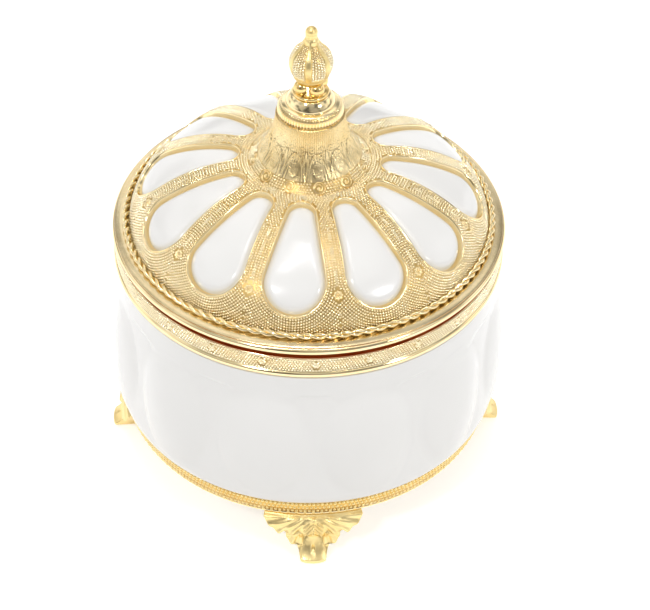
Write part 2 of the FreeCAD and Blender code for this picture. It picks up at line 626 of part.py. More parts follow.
def make_rope_border():
    rope = doc.addObject("Part::Torus", "rope_border")
    rope.setExpression("Radius1", R_ROPE)
    rope.setExpression("Radius2", size("rope_wire"))
    rope.setExpression("Placement.Base.z", f"{Z_ROPE_SEAT} + Sizes.rope_wire")
    return rope


def make_finial_cap():
    spigot = "(Sizes.neck_radius - Sizes.neck_wall - Sizes.cap_clearance)"
    edge = "(Sizes.neck_radius - Sizes.cap_overhang)"
    return turned("finial_cap", [
        (R_ROD_BORE, f"{Z_NECK} - Sizes.cap_spigot"),
        (spigot, f"{Z_NECK} - Sizes.cap_spigot"),
        (spigot, Z_NECK),
        (f"{edge} - Sizes.cap_foot", Z_NECK, size("cap_edge_bow"), "left bow"),
        (edge, f"{Z_NECK} + Sizes.cap_edge_level", size("cap_edge_bow"), "left bow"),
        (f"{edge} - Sizes.cap_edge_inset", f"{Z_NECK} + Sizes.cap_edge_height", size("cap_bow"), "left bow"),
        (size("cap_top_radius"), Z_CAP),
        (R_ROD_BORE, Z_CAP),
    ])


def make_ball_ring():
    ring = turned("finial_ball_ring", [
        (R_ROD_BORE, Z_CAP),
        (size("ball_foot"), Z_CAP),
        (size("ball_foot"), f"{Z_CAP} + Sizes.ball_foot_height"),
        (size("ball_core"), f"{Z_CAP} + Sizes.ball_foot_height"),
        (size("ball_core"), Z_BUD),
        (R_ROD_BORE, Z_BUD),
    ])
    ball = ring.newObject("PartDesign::AdditiveSphere", "finial_ball")
    ball.AttachmentSupport = [(origin_feature(ring, "XY_Plane"), "")]
    ball.MapMode = "FlatFace"
    ball.setExpression("Radius", size("ball_radius"))
    ball.setExpression("AttachmentOffset.Base.x", size("ball_circle"))
    ball.setExpression("AttachmentOffset.Base.z", f"{Z_BUD} - Sizes.ball_radius - Sizes.ball_drop")
    around(ring, ball, size("ball_count"))
    turn_about_axis(ring, size("ball_turn"))
    turned_cut(ring, "finial_ball_bore", [
        ("0", Z_CAP),
        (R_ROD_BORE, Z_CAP),
        (R_ROD_BORE, Z_BUD),
        ("0", Z_BUD),
    ])
    return ring


def make_finial_bud():
    swell = f"({Z_BUD} + Sizes.bud_swell)"
    shoulder = f"({swell} + Sizes.bud_shoulder_rise)"
    neck = f"({shoulder} + Sizes.bud_neck_rise)"
    pip_middle = f"({neck} + sqrt(Sizes.pip_radius^2 - Sizes.bud_neck^2))"
    bore_end = f"({Z_BUD} + Sizes.rod_grip + Sizes.rod_clearance)"
    return turned("finial_bud", [
        (R_ROD_BORE, Z_BUD),
        (size("bud_foot"), Z_BUD, size("bud_swell_bow"), "left bow"),
        (size("bud_radius"), swell, size("bud_shoulder_bow"), "left bow"),
        (size("bud_shoulder"), shoulder, size("bud_neck_bow"), "right bow"),
        (size("bud_neck"), neck, size("pip_radius"), "left"),
        (size("pip_radius"), pip_middle, size("pip_radius"), "left"),
        ("0", f"{pip_middle} + Sizes.pip_radius"),
        ("0", bore_end),
        (R_ROD_BORE, bore_end),
    ])


def make_tie_rod():
    bottom = f"({Z_INSERT_UNDER} - 2 * Sizes.washer_height - Sizes.nut_height - Sizes.rod_tail)"
    rod = doc.addObject("Part::Cylinder", "tie_rod")
    rod.setExpression("Radius", size("rod_radius"))
    rod.setExpression("Height", f"{Z_BUD} + Sizes.rod_grip - {bottom}")
    rod.setExpression("Placement.Base.z", bottom)
    return rod


def make_nut():
    level = f"({Z_INSERT_UNDER} - 2 * Sizes.washer_height - Sizes.nut_height)"
    blank = doc.addObject("Part::Prism", "lid_nut_blank")
    blank.Polygon = 6
    blank.setExpression("Circumradius", size("nut_corner"))
    blank.setExpression("Height", size("nut_height"))
    blank.setExpression("Placement.Base.z", level)
    drill = doc.addObject("Part::Cylinder", "lid_nut_bore")
    drill.setExpression("Radius", R_ROD_BORE)
    drill.setExpression("Height", size("nut_height"))
    drill.setExpression("Placement.Base.z", level)
    return cut("lid_nut", blank, drill)


FEET = {"foot_front": "0", "foot_right": "90", "foot_back": "180", "foot_left": "270"}

screw_holes = make_screws("foot_screw_holes", size("screw_clearance"))
pieces = {
    "bowl": make_bowl(),
    "rim_collar": make_rim_collar(),
    "base_ring": make_base_ring(screw_holes),
    "foot_screws": make_screws("foot_screws", "0"),
    "lid_rim": make_lid_rim(),
    "lid_shell": make_lid_shell(),
    "rope_border": make_rope_border(),
    "petal_dome": make_petal_dome(),
    "fibre_washer": drilled_cylinder("fibre_washer", size("fibre_radius"), size("washer_height"),
                                     f"{Z_INSERT_UNDER} - Sizes.washer_height", R_ROD_BORE),
    "lid_washer": drilled_cylinder("lid_washer", size("washer_radius"), size("washer_height"),
                                   f"{Z_INSERT_UNDER} - 2 * Sizes.washer_height", R_ROD_BORE),
    "lid_nut": make_nut(),
    "tie_rod": make_tie_rod(),
    "finial_cap": make_finial_cap(),
    "finial_ball_ring": make_ball_ring(),
    "finial_bud": make_finial_bud(),
}
for foot_name, foot_angle in FEET.items():
    pieces[foot_name] = make_foot(foot_name, foot_angle, screw_holes)

doc.recompute()
for item in doc.Objects:
    if "Invalid" in item.State or "Error" in item.State:
        raise RuntimeError(f"{item.Name} did not build: {item.State}")
for name, piece in pieces.items():
    piece.Label = name
    if piece.Shape.isNull() or not piece.Shape.isValid():
        raise RuntimeError(f"{name} has no valid shape")

os.makedirs("parts", exist_ok=True)
for name, piece in pieces.items():
    piece.Shape.exportStep(f"parts/{name}.step")
    print(f"{name}: {len(piece.Shape.Solids)} solid(s), {piece.Shape.Volume / 1000:.2f} cm3")
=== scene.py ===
import math

import bpy
import numpy as np
from mathutils import Matrix, Vector


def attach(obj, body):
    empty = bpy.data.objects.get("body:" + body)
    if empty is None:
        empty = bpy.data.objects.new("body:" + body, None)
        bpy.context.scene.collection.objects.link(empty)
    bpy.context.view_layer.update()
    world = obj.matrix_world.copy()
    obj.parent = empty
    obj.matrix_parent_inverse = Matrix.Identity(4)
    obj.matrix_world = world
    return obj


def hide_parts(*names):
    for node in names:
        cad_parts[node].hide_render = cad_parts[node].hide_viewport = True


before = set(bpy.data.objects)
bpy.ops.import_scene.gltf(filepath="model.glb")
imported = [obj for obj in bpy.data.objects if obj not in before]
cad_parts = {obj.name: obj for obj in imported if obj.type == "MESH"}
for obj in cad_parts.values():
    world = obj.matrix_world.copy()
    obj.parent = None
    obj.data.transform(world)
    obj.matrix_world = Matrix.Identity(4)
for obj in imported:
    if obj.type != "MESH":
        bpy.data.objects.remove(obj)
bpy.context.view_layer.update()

# Sizes of the jar in millimetres, as the solids have them. Heights (Z) are from the floor.
MM = 0.001
AXIS_R = 0.02  # where a sheet that closes on the axis ends
CHAMFER = 0.3
FOOT_HEIGHT = 18.4
SEAT_Z = 20.4
BASE_TOP_Z = 26.6
BASE_TOP_R = 65.4
BASE_BOTTOM_R = 63.3
BASE_BORE = 48.0
BASE_LIP_R = 63.8
BASE_SEAT_R = 61.7
BOWL_R = 64.0
BOWL_BORE = 58.5
BOWL_RIM_R = 62.5
BOWL_RIM_Z = 89.2
BOWL_SEAT_R = 60.4
BOWL_HEEL_R = 63.5
BOWL_SOLE_R = 53.0
BOWL_SOLE_Z = 22.0
BOWL_FLOOR_Z = 26.0
BOWL_CORNER = 8.0
BOWL_FOOT_Z = BASE_TOP_Z + 0.05
SKIRT_Z = 83.2
COLLAR_Z = 91.0
COLLAR_R = 64.4
COLLAR_BORE = 62.8
COLLAR_BEAD = 1.2
RIM_R = 65.0
BEAD = 1.2
BEAD_Z = 94.0
GAP_BACK_R = 61.8
FLANGE_Z = 95.2
SPIGOT_R = 58.0
SPIGOT_BORE = 56.0
SPIGOT_LONG = 5.0
INSERT_SEAT_R = 52.8
INSERT_SEAT = 1.8
ROPE_SEAT_Z = 96.0
ROPE_R = 60.5
ROPE_WIRE = 1.15
DOME_FOOT_R = 59.2
CROWN_Z = 119.2
CROWN_RADIUS = 53.1
CROWN_MID_Z = CROWN_Z - CROWN_RADIUS
SHOULDER_R = 50.0
SHOULDER_RADIUS = 23.0
NECK_FOOT_R = 19.5
NECK_R = 10.8
NECK_Z = 137.7
NECK_FLARE = 26.0
CAP_Z = 145.3
BUD_Z = 151.0
STUD_BORE = 2.7
WINDOWS = 12
WINDOW_TILT = math.radians(27.5)
WINDOW_IN_R = 27.45
WINDOW_OUT_R = 48.47
WINDOW_Z = 112.27
RIB = 5.35
LID_TURN = math.radians(-7.5)
SECTOR = math.pi / WINDOWS

# Points that lie inside, to tell a sheet's outer face.
LID_MIDDLE = (0, 0, 80)
BOWL_MIDDLE = (0, 0, 50)
BUD_MIDDLE = (0, 0, BUD_Z + 6)

SEED = 7
rng = np.random.default_rng(SEED)


class Shape:
    """Points and faces of one piece, in millimetres."""

    def __init__(self):
        self.points = []
        self.faces = []
        self.count = 0

    def add(self, points, faces, inside=None):
        """Takes faces, turned to look away from a point inside."""
        points = np.reshape(points, (-1, 3))
        if inside is not None:
            corner = points[faces[:, 0]]
            normal = np.cross(points[faces[:, 1]] - corner, points[faces[:, -1]] - corner)
            if np.sum(normal * (points[faces].mean(axis=1) - np.asarray(inside))) < 0:
                faces = faces[:, ::-1]
        self.points.append(points)
        self.faces.append(faces + self.count)
        self.count += len(points)
        return self

    def grid(self, points, inside=None, closed=True, looped=False):
        """A sheet of quads over points[u][v], closed round v, and round u if it is looped."""
        rows, columns = points.shape[:2]
        index = np.arange(rows * columns).reshape(rows, columns)
        if looped:
            index = np.vstack([index, index[:1]])
        if closed:
            index = np.hstack([index, index[:, :1]])
        faces = np.stack([index[:-1, :-1], index[1:, :-1], index[1:, 1:], index[:-1, 1:]], axis=-1)
        return self.add(points, faces.reshape(-1, 4), inside)

    def revolve(self, profile, count=360, inside=None):
        ring = angles(count)
        return self.grid(turn(profile[:, None, 0], ring[None, :], profile[:, None, 1]), inside)

    def stamp(self, form, places, normals, size=1.0):
        """Copies of a granule, its z along each normal."""
        points, quads, tips = form
        normals = unit(normals)
        helper = np.where(np.abs(normals[:, 2:]) < 0.9, [[0.0, 0.0, 1.0]], [[1.0, 0.0, 0.0]])
        across = unit(np.cross(helper, normals))
        along = np.cross(normals, across)
        local = points * np.reshape(size, (-1, 1, 1))
        world = (places[:, None] + local[..., 0:1] * across[:, None]
                 + local[..., 1:2] * along[:, None] + local[..., 2:] * normals[:, None])
        shift = (np.arange(len(places)) * len(points))[:, None, None]
        start = self.count
        self.add(world, (quads + shift).reshape(-1, 4))
        self.faces.append((tips + shift).reshape(-1, 3) + start)
        return self


def unit(vectors):
    return vectors / np.maximum(np.linalg.norm(vectors, axis=-1, keepdims=True), 1e-9)


def turn(radius, angle, level):
    """Points at a radius and height, turned from the front (-Y) towards the right (+X)."""
    radius, angle, level = np.broadcast_arrays(radius, angle, level)
    return np.stack([radius * np.sin(angle), -radius * np.cos(angle), level], axis=-1)


def angles(count, start=0.0):
    return start + np.arange(count) * 2 * np.pi / count


def staggered(count, row):
    """Angles round a row of granules, every other row set half a step on."""
    return angles(count, 0.5 * (row % 2) * 2 * np.pi / count)


def travel(points):
    """Distance gone at each point of a line."""
    return np.r_[0, np.cumsum(np.linalg.norm(np.diff(points, axis=0), axis=1))]


def arc_centre(start, end, radius, side):
    """Centre of an arc, left or right of the way from its start to its end."""
    start, end = np.asarray(start, float), np.asarray(end, float)
    chord = end - start
    half = np.linalg.norm(chord) / 2
    left = np.array([-chord[1], chord[0]]) / (2 * half)
    away = math.sqrt(max(radius ** 2 - half ** 2, 0.0))
    return (start + end) / 2 + left * (away if side == "left" else -away)


def arc(start, end, radius, side, count):
    """Points on the shorter arc between two corners."""
    centre = arc_centre(start, end, radius, side)
    first = math.atan2(*(np.asarray(start) - centre)[::-1])
    sweep = math.atan2(*(np.asarray(end) - centre)[::-1]) - first
    sweep = (sweep + math.pi) % (2 * math.pi) - math.pi
    angle = first + sweep * np.linspace(0, 1, count)
    return centre + radius * np.stack([np.cos(angle), np.sin(angle)], axis=-1)


def path(*runs):
    """Joins runs of (radius, height) points and drops doubled ones."""
    points = np.vstack([np.asarray(run, float).reshape(-1, 2) for run in runs])
    keep = np.r_[True, np.linalg.norm(np.diff(points, axis=0), axis=1) > 1e-6]
    return points[keep]


def outward(profile):
    """Normals of a profile that runs upwards."""
    slope = np.gradient(profile, axis=0)
    return unit(np.stack([slope[:, 1], -slope[:, 0]], axis=-1))


def on_profile(profile, run, at):
    """Radius, height and normal (radius, height) at distances along a profile."""
    return [np.interp(at, run, line) for line in (*profile.T, *outward(profile).T)]


def raised(profile, relief, ring):
    """A profile turned round and raised along its normals by relief[row][column]."""
    normal = outward(profile)
    return turn(profile[:, None, 0] + relief * normal[:, None, 0], ring[None, :],
                profile[:, None, 1] + relief * normal[:, None, 1])


def smooth_step(low, high, value):
    t = np.clip((value - low) / (high - low), 0, 1)
    return t * t * (3 - 2 * t)


def ridge(distance, width):
    return np.exp(-(distance / width) ** 2)


def hump(value):
    """Round hump over -1 to 1."""
    return np.clip(1 - value ** 2, 0, 1)


BUTTON_SIDES = 8
BUTTON_SINK = 0.12
BUTTON_SHOULDER = (0.74, 0.72)  # shares of the radius and the height


def button(radius, height):
    """A granule: a small rounded button that sinks a little into its ground."""
    ring = angles(BUTTON_SIDES)
    wide, high = BUTTON_SHOULDER
    rows = ((radius, -BUTTON_SINK), (radius * wide, height * high))
    points = [(r * math.cos(a), r * math.sin(a), z) for r, z in rows for a in ring] + [(0, 0, height)]
    low = np.arange(BUTTON_SIDES)
    low_next = (low + 1) % BUTTON_SIDES
    high, high_next = low + BUTTON_SIDES, low_next + BUTTON_SIDES
    quads = np.stack([low, low_next, high_next, high], axis=-1)
    tips = np.stack([high, high_next, np.full(BUTTON_SIDES, 2 * BUTTON_SIDES)], axis=-1)
    return np.array(points), quads, tips


def uneven(count, spread):
    """Sizes drawn at random, up to a share larger or smaller."""
    return 1 - spread + 2 * spread * rng.random(count)


def make_piece(name, shape, material, body, *replaces, slot="gilt"):
    mesh = bpy.data.meshes.new(name)
    points = np.vstack(shape.points) * MM
    loops = np.concatenate([faces.reshape(-1) for faces in shape.faces])
    totals = np.concatenate([np.full(len(faces), faces.shape[1]) for faces in shape.faces])
    starts = np.r_[0, np.cumsum(totals)[:-1]]
    mesh.vertices.add(len(points))
    mesh.vertices.foreach_set("co", points.astype(np.float32).reshape(-1))
    mesh.loops.add(len(loops))
    mesh.loops.foreach_set("vertex_index", loops.astype(np.int32))
    mesh.polygons.add(len(totals))
    mesh.polygons.foreach_set("loop_start", starts.astype(np.int32))
    mesh.polygons.foreach_set("loop_total", totals.astype(np.int32))
    mesh.polygons.foreach_set("use_smooth", np.full(len(totals), True))
    mesh.update(calc_edges=True)
    mesh.validate()
    mesh.materials.append(material)
    piece = bpy.data.objects.new(name, mesh)
    bpy.context.scene.collection.objects.link(piece)
    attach(piece, body)
    if replaces:
        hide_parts(*replaces)


# Materials

def new_material(name):
    material = bpy.data.materials.new(name)
    material.use_nodes = True
    tree = material.node_tree
    return material, tree, tree.nodes["Principled BSDF"]


def noise(tree, scale, detail=3.0, space="Object"):
    coordinates = tree.nodes.new("ShaderNodeTexCoord")
    texture = tree.nodes.new("ShaderNodeTexNoise")
    texture.inputs["Scale"].default_value = scale
    texture.inputs["Detail"].default_value = detail
    tree.links.new(coordinates.outputs[space], texture.inputs["Vector"])
    return texture.outputs["Fac"]


NOISE_LOW, NOISE_HIGH = 0.3, 0.7


def ramp(tree, source, low, high, start=NOISE_LOW, end=NOISE_HIGH, blend="LINEAR"):
    node = tree.nodes.new("ShaderNodeMapRange")
    node.interpolation_type = blend
    limits = {"From Min": start, "From Max": end, "To Min": low, "To Max": high}
    for socket, value in limits.items():
        node.inputs[socket].default_value = value
    tree.links.new(source, node.inputs["Value"])
    return node.outputs["Result"]


def two_tone(tree, shader, scale, first, second, detail=3.0):
    """Base colour that drifts between two tones. Gives back the noise."""
    drift = noise(tree, scale, detail)
    node = tree.nodes.new("ShaderNodeMix")
    node.data_type = "RGBA"
    node.inputs["A"].default_value = (*first, 1.0)
    node.inputs["B"].default_value = (*second, 1.0)
    tree.links.new(ramp(tree, drift, 0.0, 1.0), node.inputs["Factor"])
    tree.links.new(node.outputs["Result"], shader.inputs["Base Color"])
    return drift


def roughen(tree, shader, source, rough):
    tree.links.new(ramp(tree, source, *rough), shader.inputs["Roughness"])


def bump(tree, shader, source, strength, distance):
    node = tree.nodes.new("ShaderNodeBump")
    node.inputs["Strength"].default_value = strength
    node.inputs["Distance"].default_value = distance
    tree.links.new(source, node.inputs["Height"])
    tree.links.new(node.outputs["Normal"], shader.inputs["Normal"])


GILT_DRIFT, GILT_POLISH, GILT_SKIN = 140.0, 420.0, 0.0002
GLAZE_DRIFT, GLAZE_POLISH, GLAZE_RIPPLE = 35.0, 90.0, 60.0
GLAZE_COAT = 0.35


def gilt(name, light, deep, rough, skin, skin_scale):
    """Gilt metal: a light and a deeper gold in soft drifts, uneven polish and a cast skin."""
    material, tree, shader = new_material(name)
    shader.inputs["Metallic"].default_value = 1.0
    two_tone(tree, shader, GILT_DRIFT, light, deep)
    roughen(tree, shader, noise(tree, GILT_POLISH), rough)
    bump(tree, shader, noise(tree, skin_scale, 4.0), skin, GILT_SKIN)
    return material


def porcelain(name, warm, cool, rough, coat_rough):
    """White glaze: faint drifts of tone, a clear glossy coat and a slight ripple."""
    material, tree, shader = new_material(name)
    two_tone(tree, shader, GLAZE_DRIFT, warm, cool)
    roughen(tree, shader, noise(tree, GLAZE_POLISH), rough)
    shader.inputs["Coat Weight"].default_value = GLAZE_COAT
    shader.inputs["Coat Roughness"].default_value = coat_rough
    bump(tree, shader, noise(tree, GLAZE_RIPPLE, 2.0), 0.08, 0.0006)
    return material


def plain_stuff(name, first, second, metallic, rough, scale):
    """Steel or fibre for the parts out of sight: grain in colour and polish."""
    material, tree, shader = new_material(name)
    shader.inputs["Metallic"].default_value = metallic
    roughen(tree, shader, two_tone(tree, shader, scale, first, second, 5.0), rough)
    return material


GOLD = (0.98, 0.82, 0.50), (0.95, 0.76, 0.41)
gold_bright = gilt("gilt_polished", *GOLD, (0.10, 0.16), 0.05, 900.0)
gold_relief = gilt("gilt_chased", *GOLD, (0.18, 0.28), 0.20, 1800.0)
# Deeper gold for the ground under granules and relief: painted shade, the amber dark between the beads.
gold_ground_painted_shade = gilt("gilt_ground_painted_shade", (0.71, 0.49, 0.19), (0.57, 0.37, 0.12), (0.30, 0.42), 0.25, 2200.0)
# Deeper, more orange gold behind the base ring's beads: painted shade between them.
gold_base_painted_shade = gilt("gilt_base_ground_painted_shade", (0.76, 0.50, 0.15), (0.66, 0.40, 0.10), (0.30, 0.42), 0.25, 2200.0)
# Lighter, paler gold for the granules: a lit copy of the gilt, painted highlight on the bead tops.
gold_grain_painted_light = gilt("gilt_granulated_painted_highlight", (1.0, 0.91, 0.67), (0.99, 0.86, 0.57), (0.14, 0.24), 0.15, 2200.0)
# Neck gold with a darker, olive deep tone: painted dark reflection of the room in front of the jar.
gold_brushed_painted_reflection = gilt("gilt_brushed_painted_dark_reflection", (0.89, 0.73, 0.42), (0.74, 0.56, 0.27), (0.20, 0.30), 0.25, 2000.0)
# Paler khaki gold on the flange: painted mid-tone reflection of the polished ring.
gold_flange_painted_reflection = gilt("gilt_flange_painted_reflection", (0.80, 0.66, 0.40), (0.74, 0.58, 0.32), (0.18, 0.25), 0.15, 1800.0)
gold_satin = gilt("gilt_satin", (0.96, 0.78, 0.39), (0.92, 0.70, 0.30), (0.30, 0.42), 0.30, 1600.0)
# Dark red-brown gilt: painted shade for the gap under the lid's bead and for the crease above it.
gold_painted_gap_shade = gilt("gilt_painted_gap_shade", (0.56, 0.18, 0.04), (0.44, 0.12, 0.03), (0.45, 0.60), 0.10, 900.0)
gold_balls = gilt("gilt_balls", (0.93, 0.70, 0.32), (0.88, 0.62, 0.24), (0.12, 0.18), 0.05, 900.0)
white_glaze = porcelain("porcelain_glaze", (0.92, 0.908, 0.885), (0.90, 0.888, 0.864), (0.14, 0.20), 0.09)
white_petal = porcelain("porcelain_petal_glaze", (0.88, 0.868, 0.845), (0.855, 0.842, 0.818),
                        (0.16, 0.22), 0.12)
steel = plain_stuff("steel_satin", (0.55, 0.55, 0.56), (0.70, 0.70, 0.70), 1.0, (0.25, 0.40), 900.0)
fibre = plain_stuff("fibre_sheet", (0.42, 0.30, 0.20), (0.55, 0.42, 0.30), 0.0, (0.75, 0.95), 700.0)


# The lid's dome and its windows

SHOULDER_Z = CROWN_MID_Z + math.sqrt(CROWN_RADIUS ** 2 - (SHOULDER_R - NECK_FOOT_R) ** 2)
SHOULDER_C = arc_centre((DOME_FOOT_R, ROPE_SEAT_Z), (SHOULDER_R, SHOULDER_Z), SHOULDER_RADIUS, "left")
SLOPE_STEP = 0.01


def dome_level(radius):
    """Height of the dome's outer face at a radius."""
    crown = CROWN_MID_Z + np.sqrt(np.maximum(CROWN_RADIUS ** 2 - (radius - NECK_FOOT_R) ** 2, 1.0))
    across = np.maximum(SHOULDER_RADIUS ** 2 - (radius - SHOULDER_C[0]) ** 2, 1e-3)
    return np.where(radius < SHOULDER_R, crown, SHOULDER_C[1] + np.sqrt(across))


def dome_normal(radius):
    slope = (dome_level(radius + SLOPE_STEP) - dome_level(radius - SLOPE_STEP)) / (2 * SLOPE_STEP)
    length = np.sqrt(1 + slope ** 2)
    return -slope / length, 1 / length


WINDOW_R = (WINDOW_IN_R + WINDOW_OUT_R) / 2
HALF_SPAN = (WINDOW_OUT_R - WINDOW_IN_R) / math.cos(WINDOW_TILT) / 2
ROUND_IN = WINDOW_IN_R * math.sin(SECTOR) - RIB / 2
ROUND_OUT = WINDOW_OUT_R * math.sin(SECTOR) - RIB / 2
TAPER = (ROUND_OUT - ROUND_IN) / (2 * HALF_SPAN)
TANGENT = math.acos(-TAPER)


def window_loop(outer, straight, inner):
    """Spine point, direction and half width round a window's teardrop outline, from its outer tip."""
    turn_out = np.linspace(0, TANGENT, outer, endpoint=False)
    turn_in = np.linspace(TANGENT, math.pi, inner)
    run = np.linspace(0, 1, straight, endpoint=False)
    angle = np.r_[turn_out, np.full(straight, TANGENT), turn_in]
    spine = np.r_[np.full(outer, HALF_SPAN), HALF_SPAN * (1 - 2 * run), np.full(inner, -HALF_SPAN)]
    width = np.r_[np.full(outer, ROUND_OUT), ROUND_OUT + (ROUND_IN - ROUND_OUT) * run,
                  np.full(inner, ROUND_IN)]
    return tuple(np.r_[line, sign * line[-2:0:-1]] for line, sign in ((spine, 1), (angle, -1), (width, 1)))


DROP_ROUNDS = 16
DROP_GAIN = 0.7


def drop_on_dome(s, t):
    """Radius out and height of plane points dropped square to a window's plane on the dome."""
    drop = np.zeros(np.shape(s))
    for _ in range(DROP_ROUNDS):
        out = WINDOW_R + s * math.cos(WINDOW_TILT) + drop * math.sin(WINDOW_TILT)
        level = WINDOW_Z - s * math.sin(WINDOW_TILT) + drop * math.cos(WINDOW_TILT)
        drop = drop + DROP_GAIN * (dome_level(np.hypot(out, t)) - level)
    return out, level


def window_points(loop, offset, lift):
    """Points round a window, set out from its edge by offset and lifted off the dome."""
    spine, angle, width = loop
    reach = width + offset
    side = reach * np.sin(angle)
    out, level = drop_on_dome(spine + reach * np.cos(angle), side)
    radius = np.hypot(out, side)
    normal_r, normal_z = dome_normal(radius)
    stretch = 1 + lift * normal_r / radius
    return np.stack([out * stretch, side * stretch, level + lift * normal_z], axis=-1)


def to_place(points, window):
    """Turns points of one window (out, side, height) to their place on the jar."""
    angle = LID_TURN + window * 2 * SECTOR
    out, side, level = points[..., 0], points[..., 1], points[..., 2]
    return np.stack([out * math.sin(angle) + side * math.cos(angle),
                     -out * math.cos(angle) + side * math.sin(angle), level], axis=-1)


def at_windows(sheet):
    """The same closed sheet at every window."""
    shape = Shape()
    for window in range(WINDOWS):
        shape.grid(to_place(sheet, window), LID_MIDDLE)
    return shape


def edge_distance(radius, angle):
    """How far dome points lie outside the nearest window's edge; angle is from that window's middle."""
    out, side = radius * np.cos(angle), np.abs(radius * np.sin(angle))
    level = dome_level(radius)
    along = ((out - WINDOW_R) * math.cos(WINDOW_TILT) - (level - WINDOW_Z) * math.sin(WINDOW_TILT)
             + HALF_SPAN)
    cosine = math.sqrt(1 - TAPER ** 2)
    foot = TAPER * side + cosine * along
    near = np.hypot(side, along) - ROUND_IN
    far = np.hypot(side, along - 2 * HALF_SPAN) - ROUND_OUT
    flank = side * cosine - along * TAPER - ROUND_IN
    return np.where(foot < 0, near, np.where(foot > cosine * 2 * HALF_SPAN, far, flank))


LOOP = window_loop(46, 44, 20)
FINE_LOOP = window_loop(300, 300, 120)
BORDER = 0.5
FIELD_IN_R = 19.0
FIELD_OUT_R = 59.35
FIELD_ROWS = 15
FIELD_SINK = 0.02
WIDEST_REACH = 30.0
REACH_ROUNDS = 40


def inside_sector(points, margin):
    out, side = points[..., 0], points[..., 1]
    radius = np.hypot(out, side)
    gap = radius * np.sin(SECTOR - np.abs(np.arctan2(side, out)))
    return (gap > margin) & (radius < FIELD_OUT_R - margin) & (radius > FIELD_IN_R + margin)


def field_fan(loop, rows, lift):
    """Lines round a window, from its border to the next window's ground, the rope or the neck."""
    low, high = np.full(len(loop[0]), BORDER), np.full(len(loop[0]), WIDEST_REACH)
    for _ in range(REACH_ROUNDS):
        middle = (low + high) / 2
        within = inside_sector(window_points(loop, middle, 0.0), 0.0)
        low, high = np.where(within, middle, low), np.where(within, high, middle)
    return np.stack([window_points(loop, BORDER + (low - BORDER) * share, lift)
                     for share in np.linspace(0, 1, rows)])


def make_field():
    return at_windows(field_fan(LOOP, FIELD_ROWS, -FIELD_SINK))


# Rolled edge and wall of a window: distance out from its edge and height off the dome.
FRAME_SECTION = [(0.64, -0.12), (0.54, 0.10), (0.40, 0.25), (0.24, 0.29), (0.10, 0.21), (0.0, 0.0),
                 (-0.03, -0.35), (-0.06, -0.85), (-0.10, -1.35), (-0.16, -1.85), (-0.26, -2.25),
                 (-0.42, -2.50), (-0.60, -2.62)]


def make_frames():
    return at_windows(np.stack([window_points(LOOP, offset, lift) for offset, lift in FRAME_SECTION]))


PETAL_EDGE = 0.12
PETAL_CREST = -0.55
PETAL_DROP = 1.9
PETAL_EASE = 2.9
PETAL_ROUND = 2.2
PETAL_SHARES = np.r_[np.linspace(1, 0.7, 12), np.linspace(0.62, 0.0, 9)]


def make_petals():
    rows = []
    for share in PETAL_SHARES:
        inset = PETAL_EDGE + (LOOP[2] - PETAL_EDGE) * (1 - share)
        rise = 1 - (1 - np.clip((inset - PETAL_EDGE) / PETAL_EASE, 0, 1)) ** PETAL_ROUND
        rows.append(window_points(LOOP, -inset, -PETAL_DROP + (PETAL_DROP + PETAL_CREST) * rise))
    return at_windows(np.stack(rows))


INSERT_DEPTH = 2.5
INSERT_WALL = 2.6
INSERT_BORE = 2.6
INSERT_END_R = 58.9


def make_insert():
    """The porcelain insert under the petals: upper face, foot, underside and bore."""
    radii = np.r_[np.linspace(NECK_FOOT_R, SHOULDER_R, 40), np.linspace(SHOULDER_R + 0.2, INSERT_END_R, 30)]
    normal_r, normal_z = dome_normal(radii)
    faces = []
    for depth in (INSERT_DEPTH, INSERT_DEPTH + INSERT_WALL):
        face = np.stack([radii - depth * normal_r, dome_level(radii) - depth * normal_z], axis=-1)
        faces.append(face[face[:, 1] > FLANGE_Z])
    upper, lower = faces
    top_z, under_z = upper[0, 1], lower[0, 1]
    return Shape().revolve(path(
        [(INSERT_BORE, under_z), (INSERT_BORE, top_z)], upper, [(upper[-1, 0] + 0.1, FLANGE_Z)],
        [(lower[-1, 0] + 0.1, FLANGE_Z)], lower[::-1], [(INSERT_BORE, under_z)]), 180)


# Granules on the lid

GRAIN = 0.88
GRAIN_FORM = button(0.41, 0.46)
FIRST_ROW = 0.42
FAN_ROWS = 90
SECTOR_ROOM = 0.22
SEAM_STEP = 0.8
SEAM_ROOM = 0.46
ROSETTE_R = 53.2
ROSETTE_KEEP = 1.68
RING_GRAIN_R = 34.0
RING_GRAIN = 0.98
RING_STEP = 0.9
RING_GRAIN_SIZE = 1.1
NECK_EDGE_RIB = 20.9
NECK_EDGE_WINDOW = 20.0
NECK_EDGE_CURVE = 1.3


def neck_edge(angle):
    """Outer radius of the chased ring round the neck; angle is from a window's middle."""
    share = np.abs(angle) / SECTOR
    return NECK_EDGE_WINDOW + (NECK_EDGE_RIB - NECK_EDGE_WINDOW) * share ** NECK_EDGE_CURVE


def on_dome(radius, angle):
    """Points on the dome; angle is from a window's middle."""
    return np.stack([radius * np.cos(angle), radius * np.sin(angle), dome_level(radius)], axis=-1)


